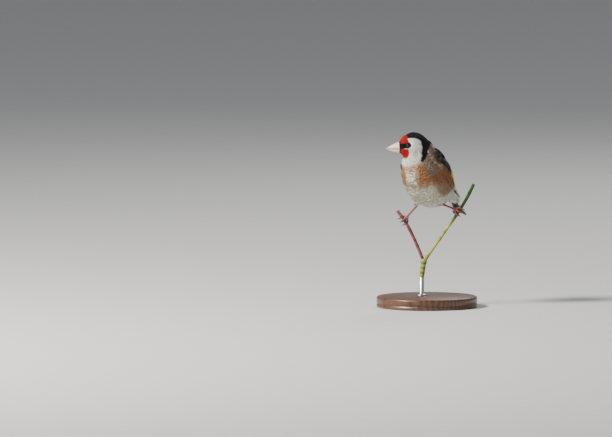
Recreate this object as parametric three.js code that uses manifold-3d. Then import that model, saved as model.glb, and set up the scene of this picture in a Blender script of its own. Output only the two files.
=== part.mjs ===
// An adult European goldfinch at life size. It grips the two arms of a cut, forked weed stem, and a plain
// stand holds the stem up. Millimetres, +Z up. The body looks along -Y, the head is turned to the bird's
// right, and the bird's left side is +X. The origin is the centre of the stand's underside.

import * as THREE from "three";
import { mergeVertices } from "three/addons/utils/BufferGeometryUtils.js";
import Module from "manifold-3d";

const wasm = await Module();
wasm.setup();

// Driving sizes
const bodyHeight = 106; // middle of the trunk above the ground
const gap = 0.3; // between neighbouring sub-parts
const headYaw = 51; // degrees that the head is turned to the bird's right
const eyeRadius = 2.3;
const billLength = 12.4;
const billDepth = 8.2;
const billWidth = 6.6;
const tailLength = 47.5;
const tailWidth = 12.8;
const vaneThickness = 0.56;
const shortestEdge = 0.06; // joins leave no finer splinters than this
const tarsusRadius = 0.85;
const toeRadius = 0.72;
const stemRadius = 2.2;
const armRadius = 1.3;
const baseRadius = 42;
const baseHeight = 9;
const rodRadius = 2;

const degree = Math.PI / 180;
const v3 = (x, y, z) => new THREE.Vector3(x, y, z);
const inBody = (x, y, z) => v3(x, y, z + bodyHeight); // from the middle of the trunk
const lerp = THREE.MathUtils.lerp;
const smooth = THREE.MathUtils.smoothstep;
const sideSign = { left: 1, right: -1 };

// Solids

function closedGeometry(points, faces) {
  const geometry = new THREE.BufferGeometry();
  geometry.setAttribute("position", new THREE.Float32BufferAttribute(points.flatMap((p) => p.toArray()), 3));
  geometry.setIndex(faces.flat());
  return geometry;
}

function solidOf(geometry) {
  const bare = geometry.clone();
  bare.deleteAttribute("normal");
  bare.deleteAttribute("uv");
  const merged = mergeVertices(bare, 1e-4);
  const vertProperties = new Float32Array(merged.attributes.position.array);
  const triVerts = new Uint32Array(merged.index.array);
  return new wasm.Manifold(new wasm.Mesh({ numProp: 3, vertProperties, triVerts }));
}

function largestPiece(solid) {
  const pieces = solid.decompose();
  return pieces.reduce((best, piece) => (piece.volume() > best.volume() ? piece : best));
}

function joined(solids) {
  return solids.reduce((sum, solid) => sum.add(solid));
}

function geometryOf(solid) {
  const mesh = largestPiece(largestPiece(solid).simplify(shortestEdge)).getMesh();
  const geometry = new THREE.BufferGeometry();
  geometry.setAttribute("position", new THREE.BufferAttribute(new Float32Array(mesh.vertProperties), 3));
  geometry.setIndex(new THREE.BufferAttribute(new Uint32Array(mesh.triVerts), 1));
  return geometry;
}

// A closed skin over rings that all have the same number of points, with a fan at each end
function loft(rings) {
  const sides = rings[0].length;
  const points = rings.flat();
  const faces = [];
  for (let ring = 0; ring + 1 < rings.length; ring += 1) {
    for (let side = 0; side < sides; side += 1) {
      const here = ring * sides + side;
      const next = ring * sides + ((side + 1) % sides);
      faces.push([here, next, next + sides], [here, next + sides, here + sides]);
    }
  }
  const start = points.length;
  const end = start + 1;
  const last = (rings.length - 1) * sides;
  const middle = (ring) => ring.reduce((sum, p) => sum.add(p), v3(0, 0, 0)).divideScalar(sides);
  points.push(middle(rings[0]), middle(rings.at(-1)));
  for (let side = 0; side < sides; side += 1) {
    const next = (side + 1) % sides;
    faces.push([start, next, side], [end, last + side, last + next]);
  }
  return closedGeometry(points, faces);
}

// One ring: across and upward are the half-axes' directions, and the lower half may be deeper than the upper
function oval(centre, across, upward, halfWidth, halfUp, halfDown, sides) {
  return Array.from({ length: sides }, (_, side) => {
    const turn = (side / sides) * 2 * Math.PI;
    const up = Math.sin(turn) * (Math.sin(turn) > 0 ? halfUp : halfDown);
    return centre.clone().addScaledVector(across, Math.cos(turn) * halfWidth).addScaledVector(upward, up);
  });
}

// A round tube along a curve, with a radius that may change on the way
function tube(points, radiusAt, steps, sides) {
  const curve = new THREE.CatmullRomCurve3(points, false, "centripetal");
  const frames = curve.computeFrenetFrames(steps);
  const rings = frames.tangents.map((_, step) => {
    const radius = radiusAt(step / steps);
    const centre = curve.getPointAt(step / steps);
    return oval(centre, frames.normals[step], frames.binormals[step], radius, radius, radius, sides);
  });
  return loft(rings);
}

// Everything on the side of a plane that its normal points to
function halfSpace(point, normal) {
  const size = 240;
  const geometry = new THREE.BoxGeometry(size, size, size).translate(0, 0, size / 2);
  const turn = new THREE.Quaternion().setFromUnitVectors(v3(0, 0, 1), normal.clone().normalize());
  geometry.applyQuaternion(turn);
  return solidOf(geometry.translate(point.x, point.y, point.z));
}

// Trunk

const tailRoot = inBody(0, 18.5, 6);
const tailAxis = v3(0, 28.8, -36.8).normalize();
const tailDorsal = v3(0, 36.8, 28.8).normalize();

// Stations of the trunk from the throat to the vent: centre, half-width, and half-height on back and belly
const trunkStations = [
  { y: -15, z: 25, wide: 11.2, back: 10.2, belly: 10.6 },
  { y: -11, z: 19, wide: 16, back: 14.8, belly: 16.4 },
  { y: -5.5, z: 11.5, wide: 19.8, back: 17, belly: 21.4 },
  { y: 1, z: 3.5, wide: 21, back: 16.6, belly: 23.2 },
  { y: 7, z: -4, wide: 20, back: 15.2, belly: 22 },
  { y: 13, z: -9, wide: 17.2, back: 12.4, belly: 17.4 },
  { y: 19, z: -11.3, wide: 12.8, back: 9.6, belly: 11.4 },
  { y: 25, z: -12, wide: 7.6, back: 7.8, belly: 6 },
  { y: 31, z: -15.4, wide: 4.6, back: 4.9, belly: 3 },
];

const trunkCurve = new THREE.CatmullRomCurve3(trunkStations.map(({ y, z }) => inBody(0, y, z)));

// Centre, direction of the back and sizes of the trunk at a share of its length
function trunkAt(along) {
  const place = along * (trunkStations.length - 1);
  const index = Math.min(Math.floor(place), trunkStations.length - 2);
  const size = (name) => lerp(trunkStations[index][name], trunkStations[index + 1][name], place - index);
  const dorsal = v3(1, 0, 0).cross(trunkCurve.getTangent(along));
  return { centre: trunkCurve.getPoint(along), dorsal, size };
}

function trunkRing(along, grow, sides) {
  const { centre, dorsal, size } = trunkAt(along);
  const [wide, back, belly] = ["wide", "back", "belly"].map((name) => size(name) + grow);
  return oval(centre, v3(-1, 0, 0), dorsal, wide, back, belly, sides);
}

function trunk(grow) {
  const rings = 16;
  const sides = 28;
  const all = Array.from({ length: rings + 1 }, (_, ring) => trunkRing(ring / rings, grow, sides));
  return solidOf(loft(all));
}

// Head, in its own frame: forward is where the bill points, and left is the bird's left

const headCentre = inBody(-3, -14.4, 27.5);
const headForward = v3(-Math.sin(headYaw * degree), -Math.cos(headYaw * degree), 0);
const headLeft = v3(Math.cos(headYaw * degree), -Math.sin(headYaw * degree), 0);
const headUp = v3(0, 0, 1);

function onHead(forward, left, up) {
  const place = headCentre.clone().addScaledVector(headForward, forward);
  return place.addScaledVector(headLeft, left).addScaledVector(headUp, up);
}

// Stations of the head from the bill's base to the nape: forward, top, bottom and half-width
const headStations = [
  { forward: 12.1, top: 5.6, bottom: -3.6, wide: 4.2 },
  { forward: 11.2, top: 8.3, bottom: -5, wide: 6.1 },
  { forward: 9.2, top: 10.8, bottom: -6.8, wide: 8.2 },
  { forward: 6, top: 12, bottom: -9, wide: 9.7 },
  { forward: 1.5, top: 13.6, bottom: -11, wide: 11.5 },
  { forward: -3.5, top: 13.2, bottom: -12, wide: 12 },
  { forward: -8.5, top: 10.6, bottom: -12.5, wide: 11.6 },
  { forward: -13, top: 6.8, bottom: -12, wide: 9.8 },
  { forward: -16.4, top: 1.6, bottom: -9.5, wide: 6.4 },
];

function headMass(grow) {
  const sides = 24;
  const rings = headStations.map(({ forward, top, bottom, wide }) => {
    const middle = (top + bottom) / 2;
    const half = (top - bottom) / 2 + grow;
    return oval(onHead(forward, 0, middle), headLeft, headUp, wide + grow, half, half, sides);
  });
  return solidOf(loft(rings.reverse()));
}

// The neck runs from inside the trunk into the head
function neckMass(grow) {
  const places = [inBody(0, -6, 13), inBody(0, -9.5, 18), inBody(-0.5, -12, 22.5), inBody(-2, -13.5, 27)];
  const radii = [18, 16.4, 13.8, 11];
  const axes = new THREE.CatmullRomCurve3(places);
  const rings = radii.map((radius, ring) => {
    const tangent = axes.getTangent(ring / (radii.length - 1));
    const dorsal = v3(1, 0, 0).cross(tangent).negate();
    const across = dorsal.clone().cross(tangent);
    return oval(places[ring], across, dorsal, radius + grow, radius + grow, radius + grow, 28);
  });
  return solidOf(loft(rings));
}

function flesh(grow) {
  return joined([trunk(grow), neckMass(grow), headMass(grow)]);
}

const neckBase = { at: inBody(0, -7, 14.5), normal: v3(0, -0.64, 0.77).normalize() };
const neckTop = { at: inBody(-1, -11, 20.5), normal: v3(-0.15, -0.45, 0.88).normalize() };

function beyond({ at, normal }, distance) {
  return halfSpace(at.clone().addScaledVector(normal, distance), normal);
}

function behind({ at, normal }, distance) {
  return halfSpace(at.clone().addScaledVector(normal, -distance), normal.clone().negate());
}

// Bill: two halves that meet along the line of the mouth

const billBase = 9.6; // forward place where the bill leaves the skull
const mouthLine = -0.2; // height of the mouth line on the head

function billHalf(isUpper, grow) {
  const stations = 8;
  const sides = 8;
  const rings = Array.from({ length: stations + 1 }, (_, station) => {
    const along = station / stations;
    const forward = billBase - grow + along * (billLength + 1.2 + grow - (isUpper ? 0 : 0.9));
    const taper = Math.pow(1 - along, isUpper ? 0.9 : 0.8);
    const wide = 0.28 + (billWidth / 2) * taper + grow;
    const mouth = mouthLine - 0.7 * along;
    const share = isUpper ? 0.72 * Math.pow(1 - along, 0.8) : 0.46 * Math.pow(1 - along, 0.6);
    const tall = 0.3 + billDepth * share + 2.4 * grow;
    const sign = isUpper ? 1 : -1;
    const floor = mouth + sign * (gap / 2 - grow);
    return Array.from({ length: sides + 1 }, (_, side) => {
      const turn = (side / sides) * Math.PI;
      const up = floor + sign * Math.sin(turn) * tall;
      return onHead(forward, sign * Math.cos(turn) * wide, up);
    });
  });
  return loft(rings);
}

function sphereAt(place, radius, detail = 8) {
  return new THREE.SphereGeometry(radius, detail * 2, detail).translate(place.x, place.y, place.z);
}

const eyePlace = { forward: 4.4, left: 8.2, up: 3 };

// Feathered thigh, bare shank and toes

const legs = {
  right: { hip: inBody(-8.5, 1.5, -10), ankle: inBody(-10.2, -2.6, -23.2), grip: inBody(-19, -6.5, -33.9) },
  left: { hip: inBody(9, 5, -8), ankle: inBody(13.4, 6.4, -20.6), grip: inBody(23.5, 13.3, -25.6) },
};

// Perch

const fork = inBody(-4, 1, -68.5);
const stemFoot = inBody(-5.4, -0.1, -81);
const armBends = {
  right: { below: [[-9.6, -1.6, -54], [-14.8, -4.2, -42]], above: [[-24.6, -8.6, -26.4]] },
  left: { below: [[9.8, 7.2, -47]], above: [[30.6, 16.6, -12.5], [34.8, 18.6, -3]] },
};
const perchArms = Object.fromEntries(Object.entries(armBends).map(([side, { below, above }]) => {
  const [lower, upper] = [below, above].map((bends) => bends.map((place) => inBody(...place)));
  return [side, [fork, ...lower, legs[side].grip, ...upper]];
}));

function perchArm(side, grow) {
  return solidOf(tube(perchArms[side], () => armRadius + grow, 14, 10));
}

function perchStem(grow) {
  const top = fork.clone().add(v3(0.3, 0.2, 2.6));
  const swelling = (along) => 1 + 0.22 * smooth(along, 0.6, 0.9);
  const end = (along) => 1 - 0.35 * smooth(along, 0.92, 1);
  const radius = (along) => stemRadius * swelling(along) * end(along) + grow;
  return solidOf(tube([stemFoot, fork, top], radius, 10, 12));
}

// A toe leaves the foot's pad beside the shank, and winds round the stem to its claw
function footSolid(side) {
  const { ankle, grip } = legs[side];
  const curve = new THREE.CatmullRomCurve3(perchArms[side], false, "centripetal");
  const samples = 200;
  const distance = (along) => curve.getPointAt(along).distanceTo(grip);
  const places = Array.from({ length: samples + 1 }, (_, step) => step / samples);
  const nearest = places.reduce((best, along) => (distance(along) < distance(best) ? along : best), 0);
  const stemAxis = curve.getTangentAt(nearest);
  const outward = ankle.clone().sub(grip);
  outward.addScaledVector(stemAxis, -outward.dot(stemAxis)).normalize();
  const sideways = stemAxis.clone().cross(outward);
  const wrap = armRadius + gap + toeRadius + 0.12;
  const onStem = (turn, shift, radius) => grip.clone()
    .addScaledVector(stemAxis, shift)
    .addScaledVector(outward, Math.cos(turn * degree) * radius)
    .addScaledVector(sideways, Math.sin(turn * degree) * radius);
  const toes = [
    { turn: 150, shift: -3, length: 0.8 },
    { turn: 195, shift: 0, length: 1 },
    { turn: 150, shift: 3, length: 0.8 },
    { turn: -125, shift: 0.2, length: 0.9 },
  ];
  const solids = toes.map(({ turn, shift, length }) => {
    const bends = 6;
    const path = Array.from({ length: bends + 1 }, (_, bend) => {
      const along = bend / bends;
      return onStem(turn * along, shift * smooth(along, -0.2, 0.5), wrap + 0.35 * (1 - along));
    });
    const clawRoot = turn + Math.sign(turn) * 34;
    const clawTip = clawRoot + Math.sign(turn) * 22;
    path.push(onStem(clawRoot, shift * 1.1, wrap + 0.7), onStem(clawTip, shift * 1.15, wrap + 2.1));
    const clawStart = 0.74;
    const onClaw = (along) => lerp(0.85, 0.32, (along - clawStart) / (1 - clawStart));
    const taper = (along) => (along < clawStart ? 1 : onClaw(along));
    return solidOf(tube(path, (along) => toeRadius * taper(along) * lerp(1, length, along), 11, 6));
  });
  const pad = solidOf(tube([onStem(0, 0, wrap - 0.1), onStem(0, 0, wrap + 1.3)], () => 1.15, 2, 8));
  return joined([pad, ...solids]);
}

function shankEnds(side) {
  const { ankle, grip } = legs[side];
  const towardGrip = grip.clone().sub(ankle).normalize();
  const end = grip.clone().addScaledVector(towardGrip, -(armRadius + 3.2));
  return { towardGrip, start: ankle.clone(), end };
}

function shank(side) {
  const { start, end } = shankEnds(side);
  const radius = (along) => tarsusRadius * (1 + 0.35 * Math.pow(Math.abs(2 * along - 1), 4));
  return solidOf(tube([start, start.clone().lerp(end, 0.5), end], radius, 8, 9));
}

function thigh(side) {
  const { hip, ankle } = legs[side];
  const path = [hip, hip.clone().lerp(ankle, 0.55), ankle];
  const radius = (along) => lerp(6.6, 1.5, Math.pow(along, 1.1));
  return solidOf(tube(path, radius, 7, 12));
}

// Flat vane along a curve: a rectangular section whose width is given along the way
function vane(points, widthAt, faceAt, thickness, steps) {
  const curve = new THREE.CatmullRomCurve3(points);
  const rings = Array.from({ length: steps + 1 }, (_, step) => {
    const along = step / steps;
    const place = curve.getPoint(along);
    const face = faceAt(along).clone();
    const tangent = curve.getTangent(along);
    face.addScaledVector(tangent, -face.dot(tangent)).normalize();
    const across = face.clone().cross(tangent).multiplyScalar(widthAt(along) / 2);
    const rise = face.multiplyScalar(thickness / 2);
    return [
      place.clone().add(across).sub(rise),
      place.clone().add(across).add(rise),
      place.clone().sub(across).add(rise),
      place.clone().sub(across).sub(rise),
    ];
  });
  return solidOf(loft(rings));
}

// Wings: a folded wing lies on the side of the body, from its bend by the throat to its tip over the tail

// Edges of the left wing from bend to tip, from the middle of the trunk
const wingUpperEdge = [[9.5, -6, 26.5], [9.5, 6, 17.5], [7, 18, 6.5], [4.6, 29, -5.5], [3, 40, -17.2]];
const wingLowerEdge = [[13.5, -11.5, 21], [18, -3, 8.5], [17, 8.5, -3.5], [10.5, 24, -11.5], [5, 40.8, -19]];
const wingEdges = [wingUpperEdge, wingLowerEdge].map(
  (edge) => new THREE.CatmullRomCurve3(edge.map(([x, y, z]) => inBody(x, y, z))),
);

// Moves a point out of the trunk until it stands clear of its surface
function clearOfTrunk(place, margin) {
  const samples = 60;
  let along = 0;
  for (let step = 0; step <= samples; step += 1) {
    const flat = v3(0, place.y, place.z);
    const distance = (share) => trunkCurve.getPoint(share).distanceTo(flat);
    along = distance(step / samples) < distance(along) ? step / samples : along;
  }
  const { centre, dorsal, size } = trunkAt(along);
  const offset = place.clone().sub(centre);
  const rise = offset.dot(dorsal);
  const tall = size(rise > 0 ? "back" : "belly") + margin;
  const reach = Math.hypot(offset.x / (size("wide") + margin), rise / tall);
  return reach < 1 ? centre.addScaledVector(offset, 1 / reach) : place;
}

function onWing(along, across, out) {
  const [upper, lower] = wingEdges.map((edge) => edge.getPoint(along));
  const place = upper.clone().lerp(lower, across);
  const crown = 0.5 * Math.sin(Math.PI * across) * (1 - smooth(along, 0.6, 1));
  place.add(v3(0.8, 0.5, 0.3).multiplyScalar(crown));
  return clearOfTrunk(place, gap + 0.15).addScaledVector(wingOutward(along, across), out);
}

function wingOutward(along, across) {
  const side = v3(0.93, 0.24, 0.28);
  const top = v3(0.35, 0.72, 0.6);
  const tip = v3(0.3, 0.75, 0.58);
  return top.lerp(side, across).lerp(tip, smooth(along, 0.55, 1)).normalize();
}

// The part of the wing between two places along it, as a curved plate
function wingPlate(start, end, edges, inner, outer) {
  const stations = 6;
  const spread = 4;
  const rings = Array.from({ length: stations + 1 }, (_, station) => {
    const along = lerp(start, end, station / stations);
    const [top, bottom] = edges(station / stations);
    const across = Array.from({ length: spread + 1 }, (_, column) => lerp(top, bottom, column / spread));
    const thin = (column) => lerp(inner + 0.4, outer, Math.sin(Math.PI * clampEdge(column)));
    return [
      ...across.map((place) => onWing(along, place, inner)),
      ...across.map((place) => onWing(along, place, thin((place - top) / (bottom - top)))).reverse(),
    ];
  });
  return solidOf(loft(rings.reverse()));
}

const clampEdge = (share) => Math.min(0.9, Math.max(0.1, share));

function mirrored(solid, side) {
  if (side === "left") {
    return solid;
  }
  const mesh = solid.getMesh();
  const vertProperties = mesh.vertProperties.map((value, index) => (index % 3 === 0 ? -value : value));
  const triVerts = mesh.triVerts.map((_, index, all) => all[index - (index % 3) + 2 - (index % 3)]);
  return new wasm.Manifold(new wasm.Mesh({ numProp: 3, vertProperties, triVerts }));
}

// A vane of the wing from its root to its tip, given by places along and across the wing
function wingVane({ root, tip, lift, width, steps }) {
  const points = 5;
  const path = Array.from({ length: points }, (_, index) => {
    const share = index / (points - 1);
    const rise = lerp(lift[0], lift[1], share);
    return onWing(lerp(root[0], tip[0], share), lerp(root[1], tip[1], share), rise);
  });
  const rounding = (share) => 1 - 0.72 * smooth(share, 0.72, 1);
  const widthAt = (share) => width * (0.35 + 0.65 * smooth(share, 0, 0.4)) * rounding(share);
  const faceAt = (share) => wingOutward(lerp(root[0], tip[0], share), lerp(root[1], tip[1], share));
  return vane(path, widthAt, faceAt, vaneThickness, steps);
}

function row(count, makeVane) {
  return Array.from({ length: count }, (_, index) => wingVane(makeVane(index / Math.max(1, count - 1))));
}

// Tiers of a folded wing: each upper tier covers the roots of the one below it
function wing() {
  const primaries = row(7, (share) => ({
    root: [0.34, lerp(0.93, 0.55, share)],
    tip: [lerp(1.0, 0.7, share), lerp(0.75, 0.55, share)],
    lift: [0.55 + 0.5 * share, 0.4 + 0.55 * share],
    width: 4.2,
    steps: 6,
  }));
  const secondaries = row(5, (share) => ({
    root: [0.3, lerp(0.62, 0.28, share)],
    tip: [lerp(0.68, 0.6, share), lerp(0.56, 0.24, share)],
    lift: [0.9, 1.15 + 0.35 * share],
    width: 4.6,
    steps: 5,
  }));
  const tertials = row(3, (share) => ({
    root: [0.2, lerp(0.22, 0.1, share)],
    tip: [lerp(0.6, 0.42, share), lerp(0.2, 0.12, share)],
    lift: [0.9, 1.6 + 0.3 * share],
    width: 5,
    steps: 4,
  }));
  const greaterCoverts = row(7, (share) => ({
    root: [0.18, lerp(0.9, 0.26, share)],
    tip: [lerp(0.43, 0.38, share), lerp(0.92, 0.26, share)],
    lift: [0.8, 1.55 + 0.25 * share],
    width: 3.9,
    steps: 3,
  }));
  const medianCoverts = row(5, (share) => ({
    root: [0.05, lerp(0.85, 0.25, share)],
    tip: [0.26, lerp(0.9, 0.22, share)],
    lift: [0.7, 1.9],
    width: 4.6,
    steps: 3,
  }));
  const thumb = [wingVane({ root: [0.12, 0.95], tip: [0.34, 0.97], lift: [0.8, 1.5], width: 3, steps: 3 })];
  const arm = wingPlate(0, 0.42, () => [0.04, 0.97], 0.1, 1.35);
  const flight = [...primaries, ...secondaries, ...tertials];
  return joined([arm, ...flight, ...greaterCoverts, ...medianCoverts, ...thumb]);
}

function onTail(along, across, rise) {
  const place = tailRoot.clone().addScaledVector(tailAxis, along);
  return place.add(v3(across, 0, 0)).addScaledVector(tailDorsal, rise);
}

const tailBase = { at: inBody(0, 25.5, -3.4), normal: v3(0, 0.96, -0.29).normalize() };

// Twelve tail feathers, the middle pair on top, with the outer ones longer so that the tip is notched
function tailFeathers() {
  const count = 12;
  const width = 3.8;
  const notch = 4.5;
  return Array.from({ length: count }, (_, index) => {
    const place = (2 * index) / (count - 1) - 1;
    const aside = Math.abs(place);
    const tip = tailLength - notch * (1 - aside);
    const layer = -0.16 * aside * (count / 2);
    const path = [0, 0.5, 1].map((share) => {
      const across = place * lerp(0.9, (tailWidth - width) / 2 + 0.8, share);
      return onTail(lerp(12, tip, share), across, layer - 0.5 * Math.sin(Math.PI * share));
    });
    const rounding = (share) => 1 - 0.6 * smooth(share, 0.85, 1);
    const widthAt = (share) => width * (0.6 + 0.4 * smooth(share, 0, 0.5)) * rounding(share);
    const face = tailDorsal.clone().add(v3(0.12 * place, 0, 0)).normalize();
    return vane(path, widthAt, () => face, vaneThickness, 5);
  });
}

// Parts

const colours = {
  tawny: [0x9a6f47, 0.9],
  belly: [0xe8e0d0, 0.9],
  red: [0xb3121a, 0.85],
  black: [0x17161a, 0.75],
  horn: [0xe6d5c4, 0.45],
  eye: [0x0b0706, 0.08],
  shank: [0xa5655c, 0.6],
  stem: [0x8f9a3c, 0.7],
  ebony: [0x3a2a20, 0.45],
  steel: [0xb9bcc0, 0.3],
};

const goldfinch = new THREE.Group();

function addPart(name, shape, colour) {
  const [color, roughness] = colours[colour];
  const metalness = colour === "steel" ? 1 : 0;
  const material = new THREE.MeshStandardMaterial({ color, roughness, metalness });
  const mesh = new THREE.Mesh(shape.isBufferGeometry ? shape : geometryOf(shape), material);
  mesh.name = name;
  goldfinch.add(mesh);
  return mesh;
}

function addBody() {
  const whole = flesh(0);
  const upperBill = solidOf(billHalf(true, gap));
  const lowerBill = solidOf(billHalf(false, gap));
  const eyes = ["left", "right"].map((side) => eyeAt(side));
  const sockets = eyes.map((place) => solidOf(sphereAt(place, eyeRadius + gap)));
  const lids = eyes.map((place, index) => lidRing(place, index === 0 ? 1 : -1));
  const face = joined([whole.intersect(beyond(neckTop, gap / 2)), ...lids]);
  const skull = [upperBill, lowerBill, ...sockets].reduce((rest, cut) => rest.subtract(cut), face);
  addPart("head", skull, "red");
  addPart("neck", whole.subtract(beyond(neckTop, -gap / 2)).intersect(beyond(neckBase, gap / 2)), "belly");
  const trunkOnly = whole.subtract(beyond(neckBase, -gap / 2));
  addPart("torso", trunkOnly.subtract(beyond(tailBase, -gap / 2)), "tawny");
  const rump = whole.intersect(beyond(tailBase, gap / 2));
  addPart("tail", joined([rump, joined(tailFeathers()).intersect(beyond(tailBase, gap / 2))]), "black");
  addPart("bill_upper", solidOf(billHalf(true, 0)).subtract(joined(nostrils())), "horn");
  addPart("bill_lower", billHalf(false, 0), "horn");
  eyes.forEach((place, index) => {
    const ball = solidOf(sphereAt(place, eyeRadius));
    addPart(index === 0 ? "eye_left" : "eye_right", ball, "eye");
  });
}

function eyeAt(side) {
  return onHead(eyePlace.forward, sideSign[side] * eyePlace.left, eyePlace.up);
}

// A low rim of eyelid, standing a little proud of the feathers
function lidRing(place, sign) {
  const facing = headLeft.clone().multiplyScalar(sign).addScaledVector(headForward, 0.28).normalize();
  const ring = new THREE.TorusGeometry(eyeRadius + 0.12, 0.42, 6, 20);
  ring.applyQuaternion(new THREE.Quaternion().setFromUnitVectors(v3(0, 0, 1), facing));
  const centre = place.clone().addScaledVector(facing, 0.75);
  return solidOf(ring.translate(centre.x, centre.y, centre.z));
}

function nostrils() {
  return [1, -1].map((sign) => {
    const pit = sphereAt(onHead(billBase + 3.4, sign * 2.1, 2.9), 0.5, 6);
    return solidOf(pit);
  });
}

function addWing(side, body) {
  const shape = mirrored(wing(), side).subtract(body);
  addPart(`wing_${side}`, shape, "black");
}

function addLeg(side, body) {
  addPart(`thigh_${side}`, thigh(side).subtract(body), "belly");
  const { towardGrip, start, end } = shankEnds(side);
  const limits = [
    { at: start.addScaledVector(towardGrip, gap), normal: towardGrip },
    { at: end, normal: towardGrip },
  ];
  addPart(`shank_${side}`, shank(side).intersect(beyond(limits[0], 0)).subtract(thigh(side)), "shank");
  const footTop = { at: end.clone().addScaledVector(towardGrip, gap), normal: towardGrip.clone().negate() };
  addPart(`foot_${side}`, footSolid(side).subtract(beyond(footTop, 0)), "shank");
}

function addPerch() {
  const swollen = perchStem(gap);
  addPart("perch_stem", perchStem(0), "stem");
  const right = perchArm("right", 0).subtract(swollen);
  addPart("perch_arm_right", right, "stem");
  addPart("perch_arm_left", perchArm("left", 0).subtract(swollen).subtract(perchArm("right", gap)), "stem");
}

function addStand() {
  const chamfer = 1.2;
  const rim = [[baseRadius, 0], [baseRadius, baseHeight - chamfer], [baseRadius - chamfer, baseHeight]];
  const profile = [[0, 0], ...rim, [0, baseHeight]];
  const base = new THREE.LatheGeometry(profile.map(([x, y]) => new THREE.Vector2(x, y)), 48);
  addPart("stand_base", solidOf(base.rotateX(Math.PI / 2)), "ebony");
  const rodLength = stemFoot.z - 2 * gap - baseHeight;
  const rod = new THREE.CylinderGeometry(rodRadius, rodRadius, rodLength, 20).rotateX(Math.PI / 2);
  rod.translate(stemFoot.x, stemFoot.y, baseHeight + gap + rodLength / 2);
  addPart("stand_rod", solidOf(rod), "steel");
}

const clearBody = flesh(gap);
addBody();
for (const side of ["left", "right"]) {
  addWing(side, clearBody);
  addLeg(side, clearBody);
}
addPerch();
addStand();

export default goldfinch;
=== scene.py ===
import math

import bmesh
import bpy
import numpy as np
from mathutils import Matrix, Vector
from mathutils.bvhtree import BVHTree
from mathutils.kdtree import KDTree


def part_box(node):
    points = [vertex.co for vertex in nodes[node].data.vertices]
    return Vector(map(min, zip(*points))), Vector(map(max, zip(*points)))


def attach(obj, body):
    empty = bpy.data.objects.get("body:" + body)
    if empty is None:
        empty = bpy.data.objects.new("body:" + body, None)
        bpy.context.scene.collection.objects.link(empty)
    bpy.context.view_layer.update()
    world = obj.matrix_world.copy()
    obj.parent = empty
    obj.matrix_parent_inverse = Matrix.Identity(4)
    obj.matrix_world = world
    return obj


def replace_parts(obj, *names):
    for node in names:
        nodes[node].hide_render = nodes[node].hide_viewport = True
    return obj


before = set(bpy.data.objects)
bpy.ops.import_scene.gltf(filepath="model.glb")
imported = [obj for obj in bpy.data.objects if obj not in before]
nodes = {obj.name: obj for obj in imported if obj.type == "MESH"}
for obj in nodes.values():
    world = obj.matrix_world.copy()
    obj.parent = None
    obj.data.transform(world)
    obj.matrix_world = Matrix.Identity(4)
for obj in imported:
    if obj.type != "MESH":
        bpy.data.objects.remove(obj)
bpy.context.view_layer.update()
rng = np.random.default_rng(7)
mm = 0.001


def v3(x, y, z):
    return np.array([x, y, z], float)


def unit(vectors):
    return vectors / np.maximum(np.linalg.norm(vectors, axis=-1, keepdims=True), 1e-12)


def smooth(x, low, high):
    t = np.clip((x - low) / (high - low), 0, 1)
    return t * t * (3 - 2 * t)


def mix(a, b, share):
    return a + (b - a) * share


# A web colour as a linear one
def rgb(text):
    s = np.array([int(text[i:i + 2], 16) / 255 for i in (0, 2, 4)])
    return np.where(s <= 0.04045, s / 12.92, ((s + 0.055) / 1.055) ** 2.4)


def boxMiddle(name):
    low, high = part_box(name)
    return (np.array(low) + np.array(high)) / 2


# Frames of the bird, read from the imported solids

bird = {
    "headBehindEyes": 4.4,  # mm
    "headUnderEyes": 3.0,
    "bodyToHead": (-3, -14.4, 27.5),
    "trunkAxis": (0, -0.643, 0.766),  # towards the head
    "trunkBack": (0, 0.766, 0.643),
}
eyeMiddle = (boxMiddle("eye_left") + boxMiddle("eye_right")) / 2
headLeft = unit(boxMiddle("eye_left") - boxMiddle("eye_right"))
headUp = v3(0, 0, 1)
headForward = unit(np.cross(headLeft, headUp))
headCentre = eyeMiddle - headForward * bird["headBehindEyes"] * mm - headUp * bird["headUnderEyes"] * mm
bodyCentre = headCentre - v3(*bird["bodyToHead"]) * mm
trunkAxis = unit(v3(*bird["trunkAxis"]))
trunkBack = unit(v3(*bird["trunkBack"]))


# Places in millimetres along the head's forward, left and up
def inHead(points):
    offset = (points - headCentre) / mm
    return offset @ headForward, offset @ headLeft, offset @ headUp


def onHead(forward, left, up):
    return headCentre + (headForward * forward + headLeft * left + headUp * up) * mm


def inBody(x, y, z):
    return bodyCentre + v3(x, y, z) * mm


# Camera: the photograph's frame, seen from far away as a long lens does

view = {
    "azimuth": 38.0,
    "elevation": 4.5,
    "distance": 8.0,
    "frameWidth": 0.51,  # metres across the photograph's frame at the bird
    "frameMiddle": (-100.8, -32.1),  # mm from the body's middle, right and up
    "sensor": 36.0,  # mm
    "clipEnd": 60.0,  # metres
}


def makeCamera():
    turn, rise = math.radians(view["azimuth"]), math.radians(view["elevation"])
    ahead = v3(-math.sin(turn) * math.cos(rise), math.cos(turn) * math.cos(rise), -math.sin(rise))
    right = v3(math.cos(turn), math.sin(turn), 0)
    above = np.cross(right, ahead)
    across, up = view["frameMiddle"]
    target = bodyCentre + (right * across + above * up) * mm
    data = bpy.data.cameras.new("camera")
    data.sensor_width = view["sensor"]
    data.lens = view["sensor"] * view["distance"] / view["frameWidth"]
    data.clip_end = view["clipEnd"]
    camera = bpy.data.objects.new("camera", data)
    bpy.context.collection.objects.link(camera)
    camera.matrix_world = Matrix(np.column_stack([right, above, -ahead]).tolist()).to_4x4()
    camera.location = Vector(target - ahead * view["distance"])
    bpy.context.scene.camera = camera


makeCamera()
print("camera placed")


# Mesh helpers


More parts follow.
